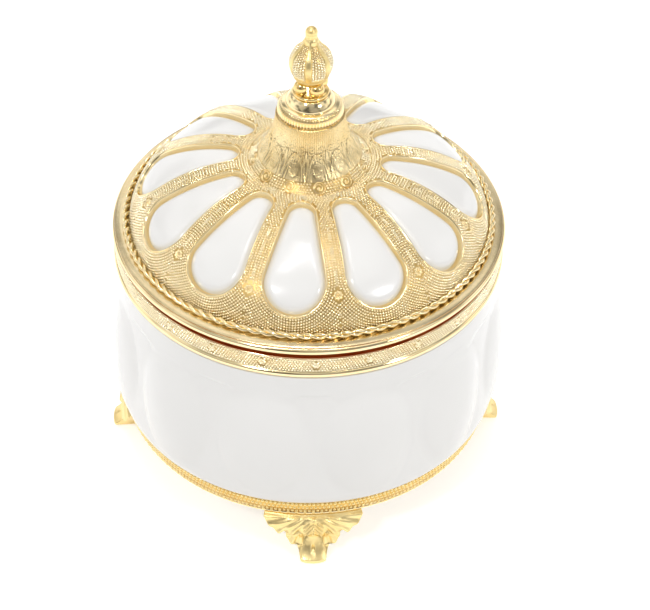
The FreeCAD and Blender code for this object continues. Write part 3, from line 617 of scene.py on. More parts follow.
def row_spots():
    """Granules round one window, in rows that follow its edge."""
    fan = field_fan(FINE_LOOP, FAN_ROWS, 0.0)
    step = np.linalg.norm(np.diff(fan, axis=0), axis=-1)
    run = np.vstack([np.zeros(fan.shape[1]), np.cumsum(step, axis=0)])
    places = []
    for distance in np.arange(FIRST_ROW, run[-1].max(), GRAIN):
        reached = run[-1] > distance
        line = np.array([[np.interp(distance, run[:, i], fan[:, i, axis]) for axis in range(3)]
                         for i in range(fan.shape[1])])
        closed = np.vstack([line, line[:1]])
        length = travel(closed)
        count = int(length[-1] / GRAIN)
        at = (np.arange(count) + 0.5) * length[-1] / count
        spots = np.stack([np.interp(at, length, closed[:, axis]) for axis in range(3)], axis=-1)
        shown = np.interp(at, length, np.r_[reached, reached[:1]].astype(float)) > 0.99
        places.append(spots[shown & inside_sector(spots, SECTOR_ROOM)])
    spots = np.vstack(places)
    rosette = on_dome(np.array(ROSETTE_R), SECTOR)
    away = np.hypot(spots[:, 0] - rosette[0], np.abs(spots[:, 1]) - rosette[1])
    return spots[(np.hypot(spots[:, 0], spots[:, 1]) > RING_GRAIN_R) & (away > ROSETTE_KEEP)]


def seam_spots(spots):
    """Granules down the middle of a rib, where the rows of two windows leave room."""
    radius = np.arange(RING_GRAIN_R, FIELD_OUT_R - 0.5, SEAM_STEP * GRAIN)
    line = on_dome(radius[np.abs(radius - ROSETTE_R) > ROSETTE_KEEP], SECTOR)
    room = np.linalg.norm(line[:, None, :] - spots[None, :, :], axis=-1).min(axis=1)
    return line[room > SEAM_ROOM]


def ring_spots():
    """Granules in rings round the neck, on the upper part of the ribs beside one window."""
    places = []
    for row, radius in enumerate(np.arange(NECK_EDGE_WINDOW + 0.3, RING_GRAIN_R, RING_STEP * RING_GRAIN)):
        step = RING_GRAIN / radius
        inward = np.arange(0.5 * (row % 2) * step, SECTOR, step)
        angle = np.r_[SECTOR - inward, inward[inward > 0] - SECTOR]
        clear = edge_distance(np.full(angle.shape, radius), np.abs(angle))
        angle = angle[(clear > BORDER + FIRST_ROW) & (radius > neck_edge(angle) + 0.2)]
        places.append(on_dome(np.full(angle.shape, radius), angle))
    return np.vstack(places)


def lid_spots():
    """Places, normals and sizes of the granules round one window."""
    rows, rings = row_spots(), ring_spots()
    rows = np.vstack([rows, seam_spots(rows)])
    spots = np.vstack([rows, rings])
    radius = np.hypot(spots[:, 0], spots[:, 1])
    normal_r, normal_z = dome_normal(radius)
    normals = np.stack([normal_r * spots[:, 0] / radius, normal_r * spots[:, 1] / radius, normal_z], axis=-1)
    return spots, normals, np.r_[np.ones(len(rows)), np.full(len(rings), RING_GRAIN_SIZE)]


LID_SPOTS, LID_NORMALS, LID_SIZES = lid_spots()


def make_grain(windows):
    shape = Shape()
    for window in windows:
        shape.stamp(GRAIN_FORM, to_place(LID_SPOTS, window), to_place(LID_NORMALS, window),
                    LID_SIZES * uneven(len(LID_SPOTS), 0.08))
    return shape


FLOWER = 1.55
FLOWER_PETALS = 8
FLOWER_RAYS, FLOWER_ROWS = 40, 9


def make_rosettes():
    """A small ribbed flower on each rib near the rope."""
    shape = Shape()
    ring = angles(FLOWER_RAYS)
    share = np.linspace(0, 1, FLOWER_ROWS)[:, None]
    petal = np.cos(FLOWER_PETALS * ring)[None, :]
    radius = FLOWER * share * (1 + 0.12 * petal)
    height = 0.55 * (1 - share ** 4) * (0.75 + 0.25 * petal)
    height = height - 0.42 * ridge(share - 0.42, 0.10) - 0.15 * (share > 0.99)
    normal_r, normal_z = dome_normal(ROSETTE_R)
    for rib in range(WINDOWS):
        angle = LID_TURN + (2 * rib + 1) * SECTOR
        normal = turn(normal_r, angle, normal_z)
        middle = turn(ROSETTE_R, angle, dome_level(ROSETTE_R))
        side = np.array([math.cos(angle), math.sin(angle), 0.0])
        up = np.cross(normal, side)
        points = (middle + radius[..., None] * (np.cos(ring)[None, :, None] * side
                  + np.sin(ring)[None, :, None] * up) + height[..., None] * normal)
        shape.grid(points, middle - 5 * normal)
    return shape


# The chased neck. Way is the distance up from its foot, below 0 on the crown.

PERIOD_STEPS = 60
CROWN_RUN = 2.2
ROSETTE_WAY = 2.1
NECK_ROSETTE = 2.15
LEAF_WAY = 4.0
LEAF_RUN = 9.2
LEAF_TAPER = 1.7
LEAF_RISE, LEAF_TIP = 0.08, 0.05
LEAF_RIDGES = ((0.82, 0.26, 0.24, LEAF_RUN), (0.58, 0.16, 0.18, 7.4))  # share, height, width, run
MEDALLION_WAY = 7.7
MEDALLION = (1.45, 2.3)
MEDALLION_RIM = (0.14, 1.05, 1.8, 0.2)  # height, share of the oval, scale, width
STIPPLE_RISE, STIPPLE_PITCH = 0.16, 0.62
SPEAR_WAY, SPEAR_RUN, SPEAR_HALF = 8.6, 5.4, 0.62
SPEAR_RISE, SPEAR_EDGE, SPEAR_LEAST = 0.26, 0.20, 0.02
SCROLLS = (((1.5, 14.4), 1.35, -1.9, 1.1, 1), ((0.9, 17.3), 0.9, -1.2, 1.0, -1))
SCROLL_HEIGHT, SCROLL_WIDTH = 0.06, 0.2
FLUTES = 4.5
FLUTE_DEPTH = 0.36
FLUTE_WAY = (8.5, 13.0)
NECK_SINK = 0.6
NECK_EDGE_FADE, WINDOW_FADE = (0.0, 0.3), (0.6, 1.1)
SPIRAL_R, SPIRAL_EYE, SPIRAL_RIM, SPIRAL_RIM_WIDTH = 1.6, 0.45, 1.9, 0.22
SPIRAL_SINK, SPIRAL_RISE = 0.28, 0.62


def neck_path():
    """Profile over the crown's middle and up the neck, with its way."""
    neck = arc((NECK_FOOT_R, CROWN_Z), (NECK_R, NECK_Z), NECK_FLARE, "right", 104)
    way = np.linspace(-CROWN_RUN, 0, 20, endpoint=False)
    crown = np.stack([NECK_FOOT_R + CROWN_RADIUS * np.sin(-way / CROWN_RADIUS),
                      CROWN_MID_Z + CROWN_RADIUS * np.cos(way / CROWN_RADIUS)], axis=-1)
    return np.vstack([crown, neck]), np.r_[way, travel(neck)]


NECK_PATH, NECK_RUN = neck_path()
NECK_FOOT_END = int(np.searchsorted(NECK_RUN, LEAF_WAY))


def curve_ridge(x, y, curve, width):
    """Ridge along a sampled curve on a flat patch."""
    gap = np.full(np.broadcast(x, y).shape, 1e9)
    for px, py in curve:
        gap = np.minimum(gap, (x - px) ** 2 + (y - py) ** 2)
    return np.exp(-gap / width ** 2)


def scroll(centre, radius, start, turns, side):
    """A C-scroll that winds in on its centre."""
    t = np.linspace(0, 1, 70)
    angle = start + side * turns * 2 * np.pi * t
    size = radius * (1 - 0.82 * t)
    return np.stack([centre[0] + size * np.cos(angle), centre[1] + size * np.sin(angle)], axis=-1)


def stipple(x, y, pitch):
    """Close rows of tiny rounded bumps."""
    row_pitch = pitch * 0.866
    row = np.round(y / row_pitch)
    dx = (x / pitch + 0.5 * (row % 2)) % 1.0 - 0.5
    dy = y / row_pitch - row
    return np.clip(1 - 3.4 * (dx ** 2 + 0.75 * dy ** 2), 0, 1)


def neck_relief(way, radius):
    """Height of the chasing over one sector, its middle on a rib."""
    x = np.linspace(-1, 1, PERIOD_STEPS, endpoint=False)[None, :]
    way, radius = way[:, None], radius[:, None]
    half = radius * SECTOR
    a = x * half
    # leaf that frames a medallion over each rib
    tip = np.clip((way - LEAF_WAY) / LEAF_RUN, 0, 1)
    edge = np.sqrt(np.clip(1 - tip ** LEAF_TAPER, 0, 1))
    on_leaf = smooth_step(LEAF_WAY - 0.7, LEAF_WAY + 0.3, way) * (tip < 1)
    relief = LEAF_RISE * hump(x / np.maximum(edge, LEAF_TIP)) * on_leaf
    for share, height, width, run in LEAF_RIDGES:
        relief += height * ridge((np.abs(x) - share * edge) * half, width) * on_leaf * (way < LEAF_WAY + run)
    oval = (a / MEDALLION[0]) ** 2 + ((way - MEDALLION_WAY) / MEDALLION[1]) ** 2
    rim, at, scale, width = MEDALLION_RIM
    relief += (STIPPLE_RISE * stipple(a, way, STIPPLE_PITCH) * (oval < 1)
               + rim * ridge((np.sqrt(oval) - at) * scale, width))
    # spear between two leaves
    spear = SPEAR_HALF * hump((way - SPEAR_WAY) / SPEAR_RUN)
    relief += SPEAR_RISE * ridge(half - np.abs(a) - spear, SPEAR_EDGE) * (spear > SPEAR_LEAST)
    # scrolls and flutes above
    for shape in SCROLLS:
        curve = scroll(*shape)
        relief += SCROLL_HEIGHT * (curve_ridge(a, way, curve, SCROLL_WIDTH)
                                   + curve_ridge(-a, way, curve, SCROLL_WIDTH))
    relief += FLUTE_DEPTH * np.abs(np.cos(np.pi * FLUTES * (x + 1))) * smooth_step(*FLUTE_WAY, way)
    # on the crown the sheet sinks under the granulated ground, and it keeps clear of the windows
    from_window = (1 - np.abs(x)) * SECTOR
    shown = np.minimum(smooth_step(*NECK_EDGE_FADE, neck_edge(from_window) - radius),
                       smooth_step(*WINDOW_FADE, edge_distance(radius, from_window)))
    sink = (way < 0) * (1 - shown)
    return relief * (1 - sink) - NECK_SINK * sink


def neck_sheet(rows):
    relief = np.tile(neck_relief(NECK_RUN, NECK_PATH[:, 0]), (1, WINDOWS))
    ring = LID_TURN + np.linspace(0, 2 * np.pi, WINDOWS * PERIOD_STEPS, endpoint=False)
    return Shape().grid(raised(NECK_PATH, relief, ring)[rows])


def make_neck_foot():
    return neck_sheet(slice(0, NECK_FOOT_END + 1))


def make_neck():
    """The neck above its foot, with a lip under the cap."""
    lip_z = NECK_Z - 0.02
    return neck_sheet(slice(NECK_FOOT_END, None)).revolve(
        path([(NECK_R + 0.1, NECK_Z - 0.3), (NECK_R - 0.1, lip_z), (CAP_BORE - 0.1, lip_z)]), 240)


def make_neck_rosettes():
    """A spiral flower at the foot of the neck over each rib."""
    rho = np.linspace(AXIS_R, NECK_ROSETTE, 18)[:, None]
    swirl = angles(48)[None, :]
    across, way = rho * np.cos(swirl), ROSETTE_WAY + rho * np.sin(swirl)
    spiral = (0.5 + 0.5 * np.cos(2 * np.pi * rho - swirl)) * (rho < SPIRAL_R)
    rings = ridge(rho, SPIRAL_EYE) + ridge(rho - SPIRAL_RIM, SPIRAL_RIM_WIDTH)
    height = -SPIRAL_SINK + SPIRAL_RISE * np.maximum(spiral, rings)
    radius, level, normal_r, normal_z = on_profile(NECK_PATH, NECK_RUN, way)
    shape = Shape()
    for rib in range(WINDOWS):
        angle = LID_TURN + (2 * rib + 1) * SECTOR
        points = turn(radius + height * normal_r, angle + across / radius, level + height * normal_z)
        shape.grid(points, turn(NECK_FOOT_R - 6.0, angle, CROWN_Z - 6.0))
    return shape


NECK_GRAIN_FORM = button(0.43, 0.48)
NECK_GRAIN_WAY = (-0.9, LEAF_WAY + 0.3)
NECK_GRAIN_STEP = 0.95
NECK_GRAIN_ROOM = 0.25


def make_neck_grain():
    """Granules between the rosettes round the neck's foot."""
    shape = Shape()
    for row, way in enumerate(np.arange(*NECK_GRAIN_WAY, GRAIN)):
        radius, level, normal_r, normal_z = on_profile(NECK_PATH, NECK_RUN, way)
        angle = staggered(int(2 * np.pi * radius / NECK_GRAIN_STEP), row)
        across = (((angle - LID_TURN) / (2 * SECTOR)) % 1.0 - 0.5) * 2 * SECTOR * radius
        angle = angle[np.hypot(across, way - ROSETTE_WAY) > NECK_ROSETTE + NECK_GRAIN_ROOM]
        shape.stamp(NECK_GRAIN_FORM, turn(radius, angle, level), turn(normal_r, angle, normal_z),
                    uneven(len(angle), 0.1))
    return shape


# The lid's flange, bead and rope

def make_flange():
    inner, outer, lip = (ROPE_R + ROPE_WIRE, ROPE_SEAT_Z), (RIM_R - 0.8, FLANGE_Z + 0.3), RIM_R - 1.0
    return Shape().revolve(path([(DOME_FOOT_R - 0.3, ROPE_SEAT_Z - 0.02), inner],
                                arc(inner, outer, 6.0, "right", 14),
                                arc(outer, (lip, FLANGE_Z), 0.25, "right", 5),
                                [(RIM_R - 4.0, FLANGE_Z)]), inside=LID_MIDDLE)


def make_lid_rim():
    end_z, under_z, bead_r = COLLAR_Z - SPIGOT_LONG, FLANGE_Z - INSERT_SEAT, RIM_R - BEAD
    start = (SPIGOT_BORE, end_z + CHAMFER)
    return Shape().revolve(path(
        [start, (SPIGOT_BORE + CHAMFER, end_z), (SPIGOT_R - CHAMFER, end_z), (SPIGOT_R, end_z + CHAMFER)],
        [(SPIGOT_R, COLLAR_Z), (GAP_BACK_R, COLLAR_Z), (GAP_BACK_R, BEAD_Z - BEAD)],
        arc((bead_r, BEAD_Z - BEAD), (RIM_R, BEAD_Z), BEAD, "left", 12),
        arc((RIM_R, BEAD_Z), (bead_r, FLANGE_Z), BEAD, "left", 12),
        [(INSERT_SEAT_R, FLANGE_Z), (INSERT_SEAT_R, under_z), (SPIGOT_BORE, under_z), start]))


ROPE_STRANDS = 2
ROPE_TURNS = 48
ROPE_STEPS = 14
ROPE_SIDES = 10
STRAND_SQUEEZE = 1.02


def make_rope():
    """Two strands laid round each other along the rope's circle."""
    shape = Shape()
    along = angles(ROPE_TURNS * ROPE_STEPS)
    ring = angles(ROPE_SIDES)[None, :, None]
    strand = ROPE_WIRE / 2
    for start in angles(ROPE_STRANDS):
        lay = ROPE_TURNS * along + start
        centre = turn(ROPE_R + strand * np.cos(lay), along, ROPE_SEAT_Z + ROPE_WIRE - strand * np.sin(lay))
        tangent = unit(np.roll(centre, -1, axis=0) - np.roll(centre, 1, axis=0))
        out = unit(np.cross(tangent, [[0.0, 0.0, 1.0]]))
        up = np.cross(out, tangent)
        tube = np.cos(ring) * out[:, None, :] + np.sin(ring) * up[:, None, :]
        shape.grid(centre[:, None, :] + strand * STRAND_SQUEEZE * tube, looped=True)
    return shape


# The collar and the gap over it

COLLAR_GROUND_R = COLLAR_R - 0.25
COLLAR_FLOWERS = 24
COLLAR_FLOWER_Z = SKIRT_Z + 5.1
COLLAR_FLOWER = 0.85
COLLAR_FLOWER_KEEP = 1.42
COLLAR_PETALS = 6
COLLAR_GRAIN_Z = (SKIRT_Z + 2.9, COLLAR_Z - 0.45)
COLLAR_GRAIN_ROWS = 6
COLLAR_GRAIN_COUNT = 430
COLLAR_GRAIN_FORM = button(0.46, 0.42)
COLLAR_PETAL_FORM = button(0.5, 0.46)
COLLAR_MIDDLE_FORM = button(0.56, 0.56)


def make_collar():
    bead_r, bead_z = COLLAR_R - COLLAR_BEAD / 2, SKIRT_Z + COLLAR_BEAD
    widest = (bead_r + COLLAR_BEAD, bead_z)
    return Shape().revolve(path(
        [(BOWL_BORE, BOWL_RIM_Z), (COLLAR_BORE, BOWL_RIM_Z), (COLLAR_BORE, SKIRT_Z)],
        arc((bead_r, SKIRT_Z), widest, COLLAR_BEAD, "left", 10),
        arc(widest, (COLLAR_GROUND_R, SKIRT_Z + 2.3), COLLAR_BEAD, "left", 8),
        [(COLLAR_GROUND_R, COLLAR_Z - 0.5), (COLLAR_R - 0.5, COLLAR_Z), (BOWL_BORE + CHAMFER, COLLAR_Z),
         (BOWL_BORE, COLLAR_Z - CHAMFER), (BOWL_BORE, BOWL_RIM_Z)]))


def make_band_ground(low_r, low_z, high_r, high_z):
    """Ground behind the beads of a band, in a deeper gold that paints the shade between the beads."""
    return Shape().revolve(path([(low_r - 0.3, low_z), (low_r, low_z + 0.1),
                                 (high_r, high_z - 0.1), (high_r - 0.3, high_z)]))


def make_collar_ledge():
    """Top of the collar under the lid's bead, painted dark red-brown as the shade in the gap."""
    ledge_z = COLLAR_Z + 0.04
    return Shape().revolve(path([(COLLAR_R - 0.5, ledge_z), (GAP_BACK_R - 0.4, ledge_z)]))


def make_lid_recess():
    """Hollow between the lid's bead and its foot, and the crease between flange and bead, both painted dark
    red-brown as shade.
    """
    back, top, crease = GAP_BACK_R + 0.06, BEAD_Z - BEAD - 0.06, RIM_R - 0.95
    hollow = path([(back, COLLAR_Z + 0.1), (back, top), (RIM_R - 0.3, top + 0.01)])
    groove = path([(crease - 0.2, FLANGE_Z + 0.2), (crease, FLANGE_Z + 0.36), (crease + 0.2, FLANGE_Z + 0.2)])
    return Shape().revolve(hollow).revolve(groove)


def make_collar_grain():
    """Staggered rows of granules round the collar, with small flowers among them."""
    places, normals = [], []
    step = 2 * np.pi / COLLAR_FLOWERS
    for row, level in enumerate(np.linspace(*COLLAR_GRAIN_Z, COLLAR_GRAIN_ROWS)):
        angle = staggered(COLLAR_GRAIN_COUNT, row)
        across = ((angle / step + 0.5) % 1 - 0.5) * step * COLLAR_GROUND_R
        angle = angle[np.hypot(across, level - COLLAR_FLOWER_Z) > COLLAR_FLOWER_KEEP]
        places.append(turn(COLLAR_GROUND_R, angle, level))
        normals.append(turn(1.0, angle, 0.0))
    places, normals = np.vstack(places), np.vstack(normals)
    middle = angles(COLLAR_FLOWERS)
    spin = angles(COLLAR_PETALS)[None, :]
    petals = turn(COLLAR_GROUND_R, middle[:, None] + COLLAR_FLOWER * np.cos(spin) / COLLAR_GROUND_R,
                  COLLAR_FLOWER_Z + COLLAR_FLOWER * np.sin(spin)).reshape(-1, 3)
    facing = turn(1.0, middle, 0.0)
    return (Shape().stamp(COLLAR_GRAIN_FORM, places, normals, uneven(len(places), 0.1))
            .stamp(COLLAR_PETAL_FORM, petals, np.repeat(facing, COLLAR_PETALS, axis=0))
            .stamp(COLLAR_MIDDLE_FORM, turn(COLLAR_GROUND_R, middle, COLLAR_FLOWER_Z), facing))


# The lobed bowl

LOBES = 12
LOBE_R = 55.5
LOBE_DEPTH = 12.2
LOBE_WIDTH = 20.05
LOBE_TALL = 39.9
LOBE_Z = 51.0
LOBE_SOFT = 0.7
BAND_Z = 74.9
BAND_R = 64.5
BAND_EASE = (1.2, 9.0, 0.36)  # least, added over a lobe, share of a lobe's step
BOWL_FLARE = 2.6
HEEL_Z = 30.8
WALL_TOP_Z = SKIRT_Z - 0.3
WALL_ROWS, HEEL_ROWS = 110, 14


def bowl_radius(angle, level):
    """Outer radius of the lobed wall: leaning lobes melt into the flared wall behind them."""
    step = 2 * np.pi / LOBES
    near = (angle / step) % 1.0 * step - step / 2
    slope = BOWL_FLARE / (BAND_Z - HEEL_Z)
    wall = BOWL_R + slope * np.clip(BAND_Z - level, 0, BAND_Z - HEEL_Z)
    least, added, share = BAND_EASE
    ease = least + added * hump(near / (share * step))
    wall = wall + (BAND_R - BOWL_R) * smooth_step(BAND_Z - ease, BAND_Z + 0.6, level)
    # where a ray from the axis leaves a lobe, a leaning ellipsoid: qa r^2 + qb r + qc = 0
    lean = math.atan(slope)
    cos_lean, sin_lean = math.cos(lean), math.sin(lean)
    rise = level - LOBE_Z
    out_gain = np.cos(near) * cos_lean / LOBE_DEPTH
    out_rest = (rise * sin_lean - LOBE_R * cos_lean) / LOBE_DEPTH
    side_gain = np.sin(near) / LOBE_WIDTH
    up_gain = -np.cos(near) * sin_lean / LOBE_TALL
    up_rest = (LOBE_R * sin_lean + rise * cos_lean) / LOBE_TALL
    qa = out_gain ** 2 + side_gain ** 2 + up_gain ** 2
    qb = 2 * (out_gain * out_rest + up_gain * up_rest)
    qc = out_rest ** 2 + up_rest ** 2 - 1
    inside = qb ** 2 - 4 * qa * qc
    lobe = np.where(inside > 0, (-qb + np.sqrt(np.maximum(inside, 0))) / (2 * qa), 0.0)
    mix = np.clip(0.5 + 0.5 * (lobe - wall) / LOBE_SOFT, 0, 1)
    full = wall + (lobe - wall) * mix + LOBE_SOFT * mix * (1 - mix) * 0.5
    heel = np.clip((level - BOWL_FOOT_Z) / (HEEL_Z - BOWL_FOOT_Z), 0, 1)
    return BASE_TOP_R + (full - BASE_TOP_R) * np.sqrt(1 - (1 - heel) ** 2)


def make_bowl():
    ring = angles(LOBES * 48)[None, :]
    heel = BOWL_FOOT_Z + (HEEL_Z - BOWL_FOOT_Z) * (1 - np.cos(np.linspace(0, np.pi / 2, HEEL_ROWS)))
    level = np.r_[heel, np.linspace(HEEL_Z + 0.4, WALL_TOP_Z, WALL_ROWS)][:, None]
    sole = path([(AXIS_R, BOWL_SOLE_Z), (BOWL_SOLE_R, BOWL_SOLE_Z), (BOWL_SOLE_R, SEAT_Z),
                 (BOWL_SEAT_R, SEAT_Z), (BOWL_HEEL_R, BASE_TOP_Z), (BASE_TOP_R, BOWL_FOOT_Z)])
    corner = (BOWL_BORE, BOWL_FLOOR_Z + BOWL_CORNER)
    inner = path([(BAND_R, WALL_TOP_Z), (BOWL_RIM_R, WALL_TOP_Z), (BOWL_RIM_R, BOWL_RIM_Z),
                  (BOWL_BORE, BOWL_RIM_Z), corner],
                 arc(corner, (BOWL_BORE - BOWL_CORNER, BOWL_FLOOR_Z), BOWL_CORNER, "right", 16),
                 [(AXIS_R, BOWL_FLOOR_Z)])
    wall = Shape().grid(turn(bowl_radius(ring, level), ring, level), BOWL_MIDDLE)
    return wall.revolve(sole, 180, BOWL_MIDDLE).revolve(inner, 240)


# The base ring and its beads

BASE_COLUMNS = 288
BASE_BEAD_ROWS = 3
BASE_BEAD_Z = (FOOT_HEIGHT + 2.7, BASE_TOP_Z - 1.5)
BASE_BEAD_FORM, BASE_BEAD_SINK = button(0.60, 0.52), 0.12
LOW_BEAD_FORM, LOW_BEAD_SINK, LOW_BEAD_UP = button(0.62, 0.5), 0.1, 1.5
BASE_EDGE = 1.1
BASE_FLARE = (BASE_TOP_R - BASE_BOTTOM_R) / (BASE_TOP_Z - FOOT_HEIGHT)


def make_base_ring():
    low, low_z = (BASE_BOTTOM_R - 0.2, FOOT_HEIGHT), FOOT_HEIGHT + BASE_EDGE
    high_z = BASE_TOP_Z - 0.7
    return Shape().revolve(path(
        [(BASE_BORE, SEAT_Z), (BASE_BORE, FOOT_HEIGHT), low],
        arc(low, (BASE_BOTTOM_R - 0.1, low_z), 0.62, "left", 8),
        [(BASE_BOTTOM_R, low_z), (BASE_TOP_R - 0.45, high_z)],
        arc((BASE_TOP_R - 0.35, high_z), (BASE_TOP_R - 0.5, BASE_TOP_Z), 0.4, "left", 6),
        [(BASE_LIP_R, BASE_TOP_Z), (BASE_SEAT_R, SEAT_Z), (BASE_BORE, SEAT_Z)]))


def make_base_grain():
    """Staggered rows of beads between the base ring's two edges, and a row along the lower one."""
    shape = Shape()
    for row, level in enumerate(np.linspace(*BASE_BEAD_Z, BASE_BEAD_ROWS)):
        radius = BASE_BOTTOM_R + (level - FOOT_HEIGHT) * BASE_FLARE - BASE_BEAD_SINK
        ring = staggered(BASE_COLUMNS, row)
        shape.stamp(BASE_BEAD_FORM, turn(radius, ring, level), turn(1.0, ring, -BASE_FLARE),
                    uneven(BASE_COLUMNS, 0.08))
    ring = angles(BASE_COLUMNS // 2)
    radius = BASE_BOTTOM_R + LOW_BEAD_UP * BASE_FLARE - LOW_BEAD_SINK
    return shape.stamp(LOW_BEAD_FORM, turn(radius, ring, FOOT_HEIGHT + LOW_BEAD_UP),
                       turn(1.0, ring, -BASE_FLARE))


# The palmette feet

FOOT_R = 63.6
FOOT_HALF = 16.5
FOOT_BACK_R = 53.1
FOOT_DEEP, FOOT_THIN = 8.0, 2.0
FOOT_ROWS, FOOT_COLUMNS = 150, 150
WAIST_R, WAIST_Z = 64.0, 9.2
TOE_R = 69.8
TOE_HALF = 4.2
TOE_BACK_R = 62.2
LEAF_HALF, LEAF_Z = 8.8, 10.8
SCALLOP, SCALLOP_TIP, SCALLOP_DEEP = 4.4, 6.8, 0.4
FAN_Z, FAN_ROOT_Z = 12.5, FOOT_HEIGHT + 1.5
FAN_RIBS, FAN_RIB_RISE, FAN_RIB_SIDE = 26, 0.20, (2.0, 5.0)
FAN_RISE, FAN_WAVE_RISE, FAN_LIP_RISE, FAN_LIP_RUN = 0.75, 0.55, 0.35, 1.6
CURL_X, CURL_Z, CURL, CURL_SQUASH = 5.9, 9.0, 3.9, 0.9
CURL_RISE, CURL_SIDE = 1.15, (2.4, 3.4)
CURL_LINES, CURL_LINE_RISE, CURL_ROOT = 14, 0.34, (4.0, 13.0)
FEATHER_LOW, FEATHER_HIGH, FEATHER_SIDE = (8.8, 10.2), (15.6, 16.6), (2.6, 3.6)
FEATHER_RISE, FEATHER_BARB_RISE, FEATHER_SLANT, FEATHER_STEP = 0.5, 0.40, (1.1, 0.9), 1.6
TOE_PETAL = ([0.0, 1.5, 5.0, 8.0, 10.2], [3.4, 4.1, 3.9, 2.7, 1.0])  # heights and half widths
TOE_PETAL_RISE, TOE_PETAL_END = 1.05, (9.2, 10.6)
TOE_DENT_Z, TOE_DENT_TALL, TOE_DENT_DEEP = 4.9, 1.3, 0.9
TOE_DENT_WIDE, TOE_DENT_SPREAD, TOE_DENT_TOP = 0.35, 0.08, 7.0
FOOT_BOSS_Z, FOOT_BOSS_RISE, FOOT_BOSS = 17.2, 0.7, 0.9
FOOT_EDGE, FOOT_EDGE_SHARE = 1.5, 0.16


def foot_half_width():
    """Heights and half widths down a foot's front outline."""
    instep = (TOE_HALF - 0.1, 6.3)
    outline = path(arc((TOE_HALF - 1.9, 0.0), (TOE_HALF, 2.4), 2.6, "left", 8), [instep],
                   arc(instep, (LEAF_HALF, LEAF_Z), 3.5, "left", 14),
                   arc((LEAF_HALF + 0.4, LEAF_Z + 0.4), (FOOT_HALF, FOOT_HEIGHT - 0.8), 11.0, "left", 20),
                   [(FOOT_HALF, FOOT_HEIGHT)])
    order = np.argsort(outline[:, 1], kind="stable")
    level = np.linspace(0, FOOT_HEIGHT, FOOT_ROWS)
    return level, np.interp(level, outline[order, 1], outline[order, 0])


def foot_relief(x, z):
    """Carving on a foot's face: scalloped fan, curled lower leaves, feathering and a toe petal."""
    side = np.abs(x)
    wave = np.cos(2 * np.pi * (side - SCALLOP_TIP) / SCALLOP)
    fan_edge = FAN_Z - SCALLOP_DEEP * (1 + wave)
    on_fan = smooth_step(fan_edge - 0.2, fan_edge + 0.25, z)
    ribs = np.cos(np.arctan2(side, FAN_ROOT_Z - z) * FAN_RIBS)
    relief = on_fan * (FAN_RISE + FAN_RIB_RISE * ribs * smooth_step(*FAN_RIB_SIDE, side))
    lip = np.exp(-np.maximum(z - fan_edge, 0) / FAN_LIP_RUN)
    relief += on_fan * (FAN_WAVE_RISE * wave + FAN_LIP_RISE) * lip
    curl = np.hypot(side - CURL_X, (z - CURL_Z) * CURL_SQUASH)
    under_fan = (1 - on_fan) * smooth_step(*CURL_SIDE, side)
    relief += under_fan * CURL_RISE * np.sqrt(hump(curl / CURL))
    lines = np.cos(np.arctan2(side - CURL_ROOT[0], z - CURL_ROOT[1]) * CURL_LINES)
    relief += under_fan * CURL_LINE_RISE * lines * (curl < CURL - 0.3)
    feather = smooth_step(*FEATHER_LOW, z) * (1 - smooth_step(*FEATHER_HIGH, z))
    feather = feather * (1 - smooth_step(*FEATHER_SIDE, side))
    barbs = np.cos(2 * np.pi * (FEATHER_SLANT[0] * side + FEATHER_SLANT[1] * z) / FEATHER_STEP)
    relief += feather * (FEATHER_RISE + FEATHER_BARB_RISE * barbs - on_fan * FEATHER_BARB_RISE)
    petal = np.sqrt(hump(x / np.interp(z, *TOE_PETAL)))
    relief += (1 - smooth_step(*TOE_PETAL_END, z)) * TOE_PETAL_RISE * petal
    dent = ridge(x, TOE_DENT_WIDE + TOE_DENT_SPREAD * np.maximum(TOE_DENT_TOP - z, 0))
    relief -= TOE_DENT_DEEP * dent * ridge(z - TOE_DENT_Z, TOE_DENT_TALL)
    return relief + FOOT_BOSS_RISE * ridge(np.hypot(side, z - FOOT_BOSS_Z), FOOT_BOSS)


def make_foot(angle):
    level, half = foot_half_width()
    column = np.linspace(-1, 1, FOOT_COLUMNS)[None, :]
    half, z = half[:, None], np.repeat(level[:, None], FOOT_COLUMNS, axis=1)
    x = half * np.sin(column * np.pi / 2)
    face = path(arc((FOOT_R, FOOT_HEIGHT), (WAIST_R, WAIST_Z), 7.8, "right", 16),
                arc((WAIST_R, WAIST_Z), (TOE_R - 1.2, 2.2), 11.6, "left", 16),
                [(TOE_R - 1.1, 1.2), (TOE_R - 1.6, 0.4), (TOE_R - 2.4, 0.0)])
    order = np.argsort(face[:, 1])
    front = np.interp(level, face[order, 1], face[order, 0])[:, None]
    front = front + foot_relief(x, z) * (1 - smooth_step(FOOT_HEIGHT - 0.9, FOOT_HEIGHT, z))
    edge = np.clip((1 - np.abs(column)) / FOOT_EDGE_SHARE, 0, 1)
    front = np.minimum(front - FOOT_EDGE * (1 - np.sqrt(hump(1 - edge))), TOE_R)
    rear = path([(TOE_BACK_R, 0.0)], arc((TOE_BACK_R, 0.0), (FOOT_BACK_R, FOOT_HEIGHT), 30.0, "right", 16))
    thin = np.clip((half - TOE_HALF) / (FOOT_HALF - TOE_HALF), 0, 1)
    back = np.maximum(np.interp(z, rear[:, 1], rear[:, 0]), front - FOOT_DEEP + FOOT_THIN * thin)
    back = np.minimum(back, front - 0.3)
    across, out = np.hstack([x, x[:, ::-1]]), np.hstack([front, back[:, ::-1]])
    world = turn(out, angle + across / FOOT_R, np.hstack([z, z]))
    middle = turn(60.0, angle, 9.0)
    shape = Shape().grid(world, middle)
    for end in (world[0], world[-1]):
        shape.grid(np.stack([end[:FOOT_COLUMNS], end[FOOT_COLUMNS:][::-1]]), middle, closed=False)
    return shape


# The finial: cap, balls and bud

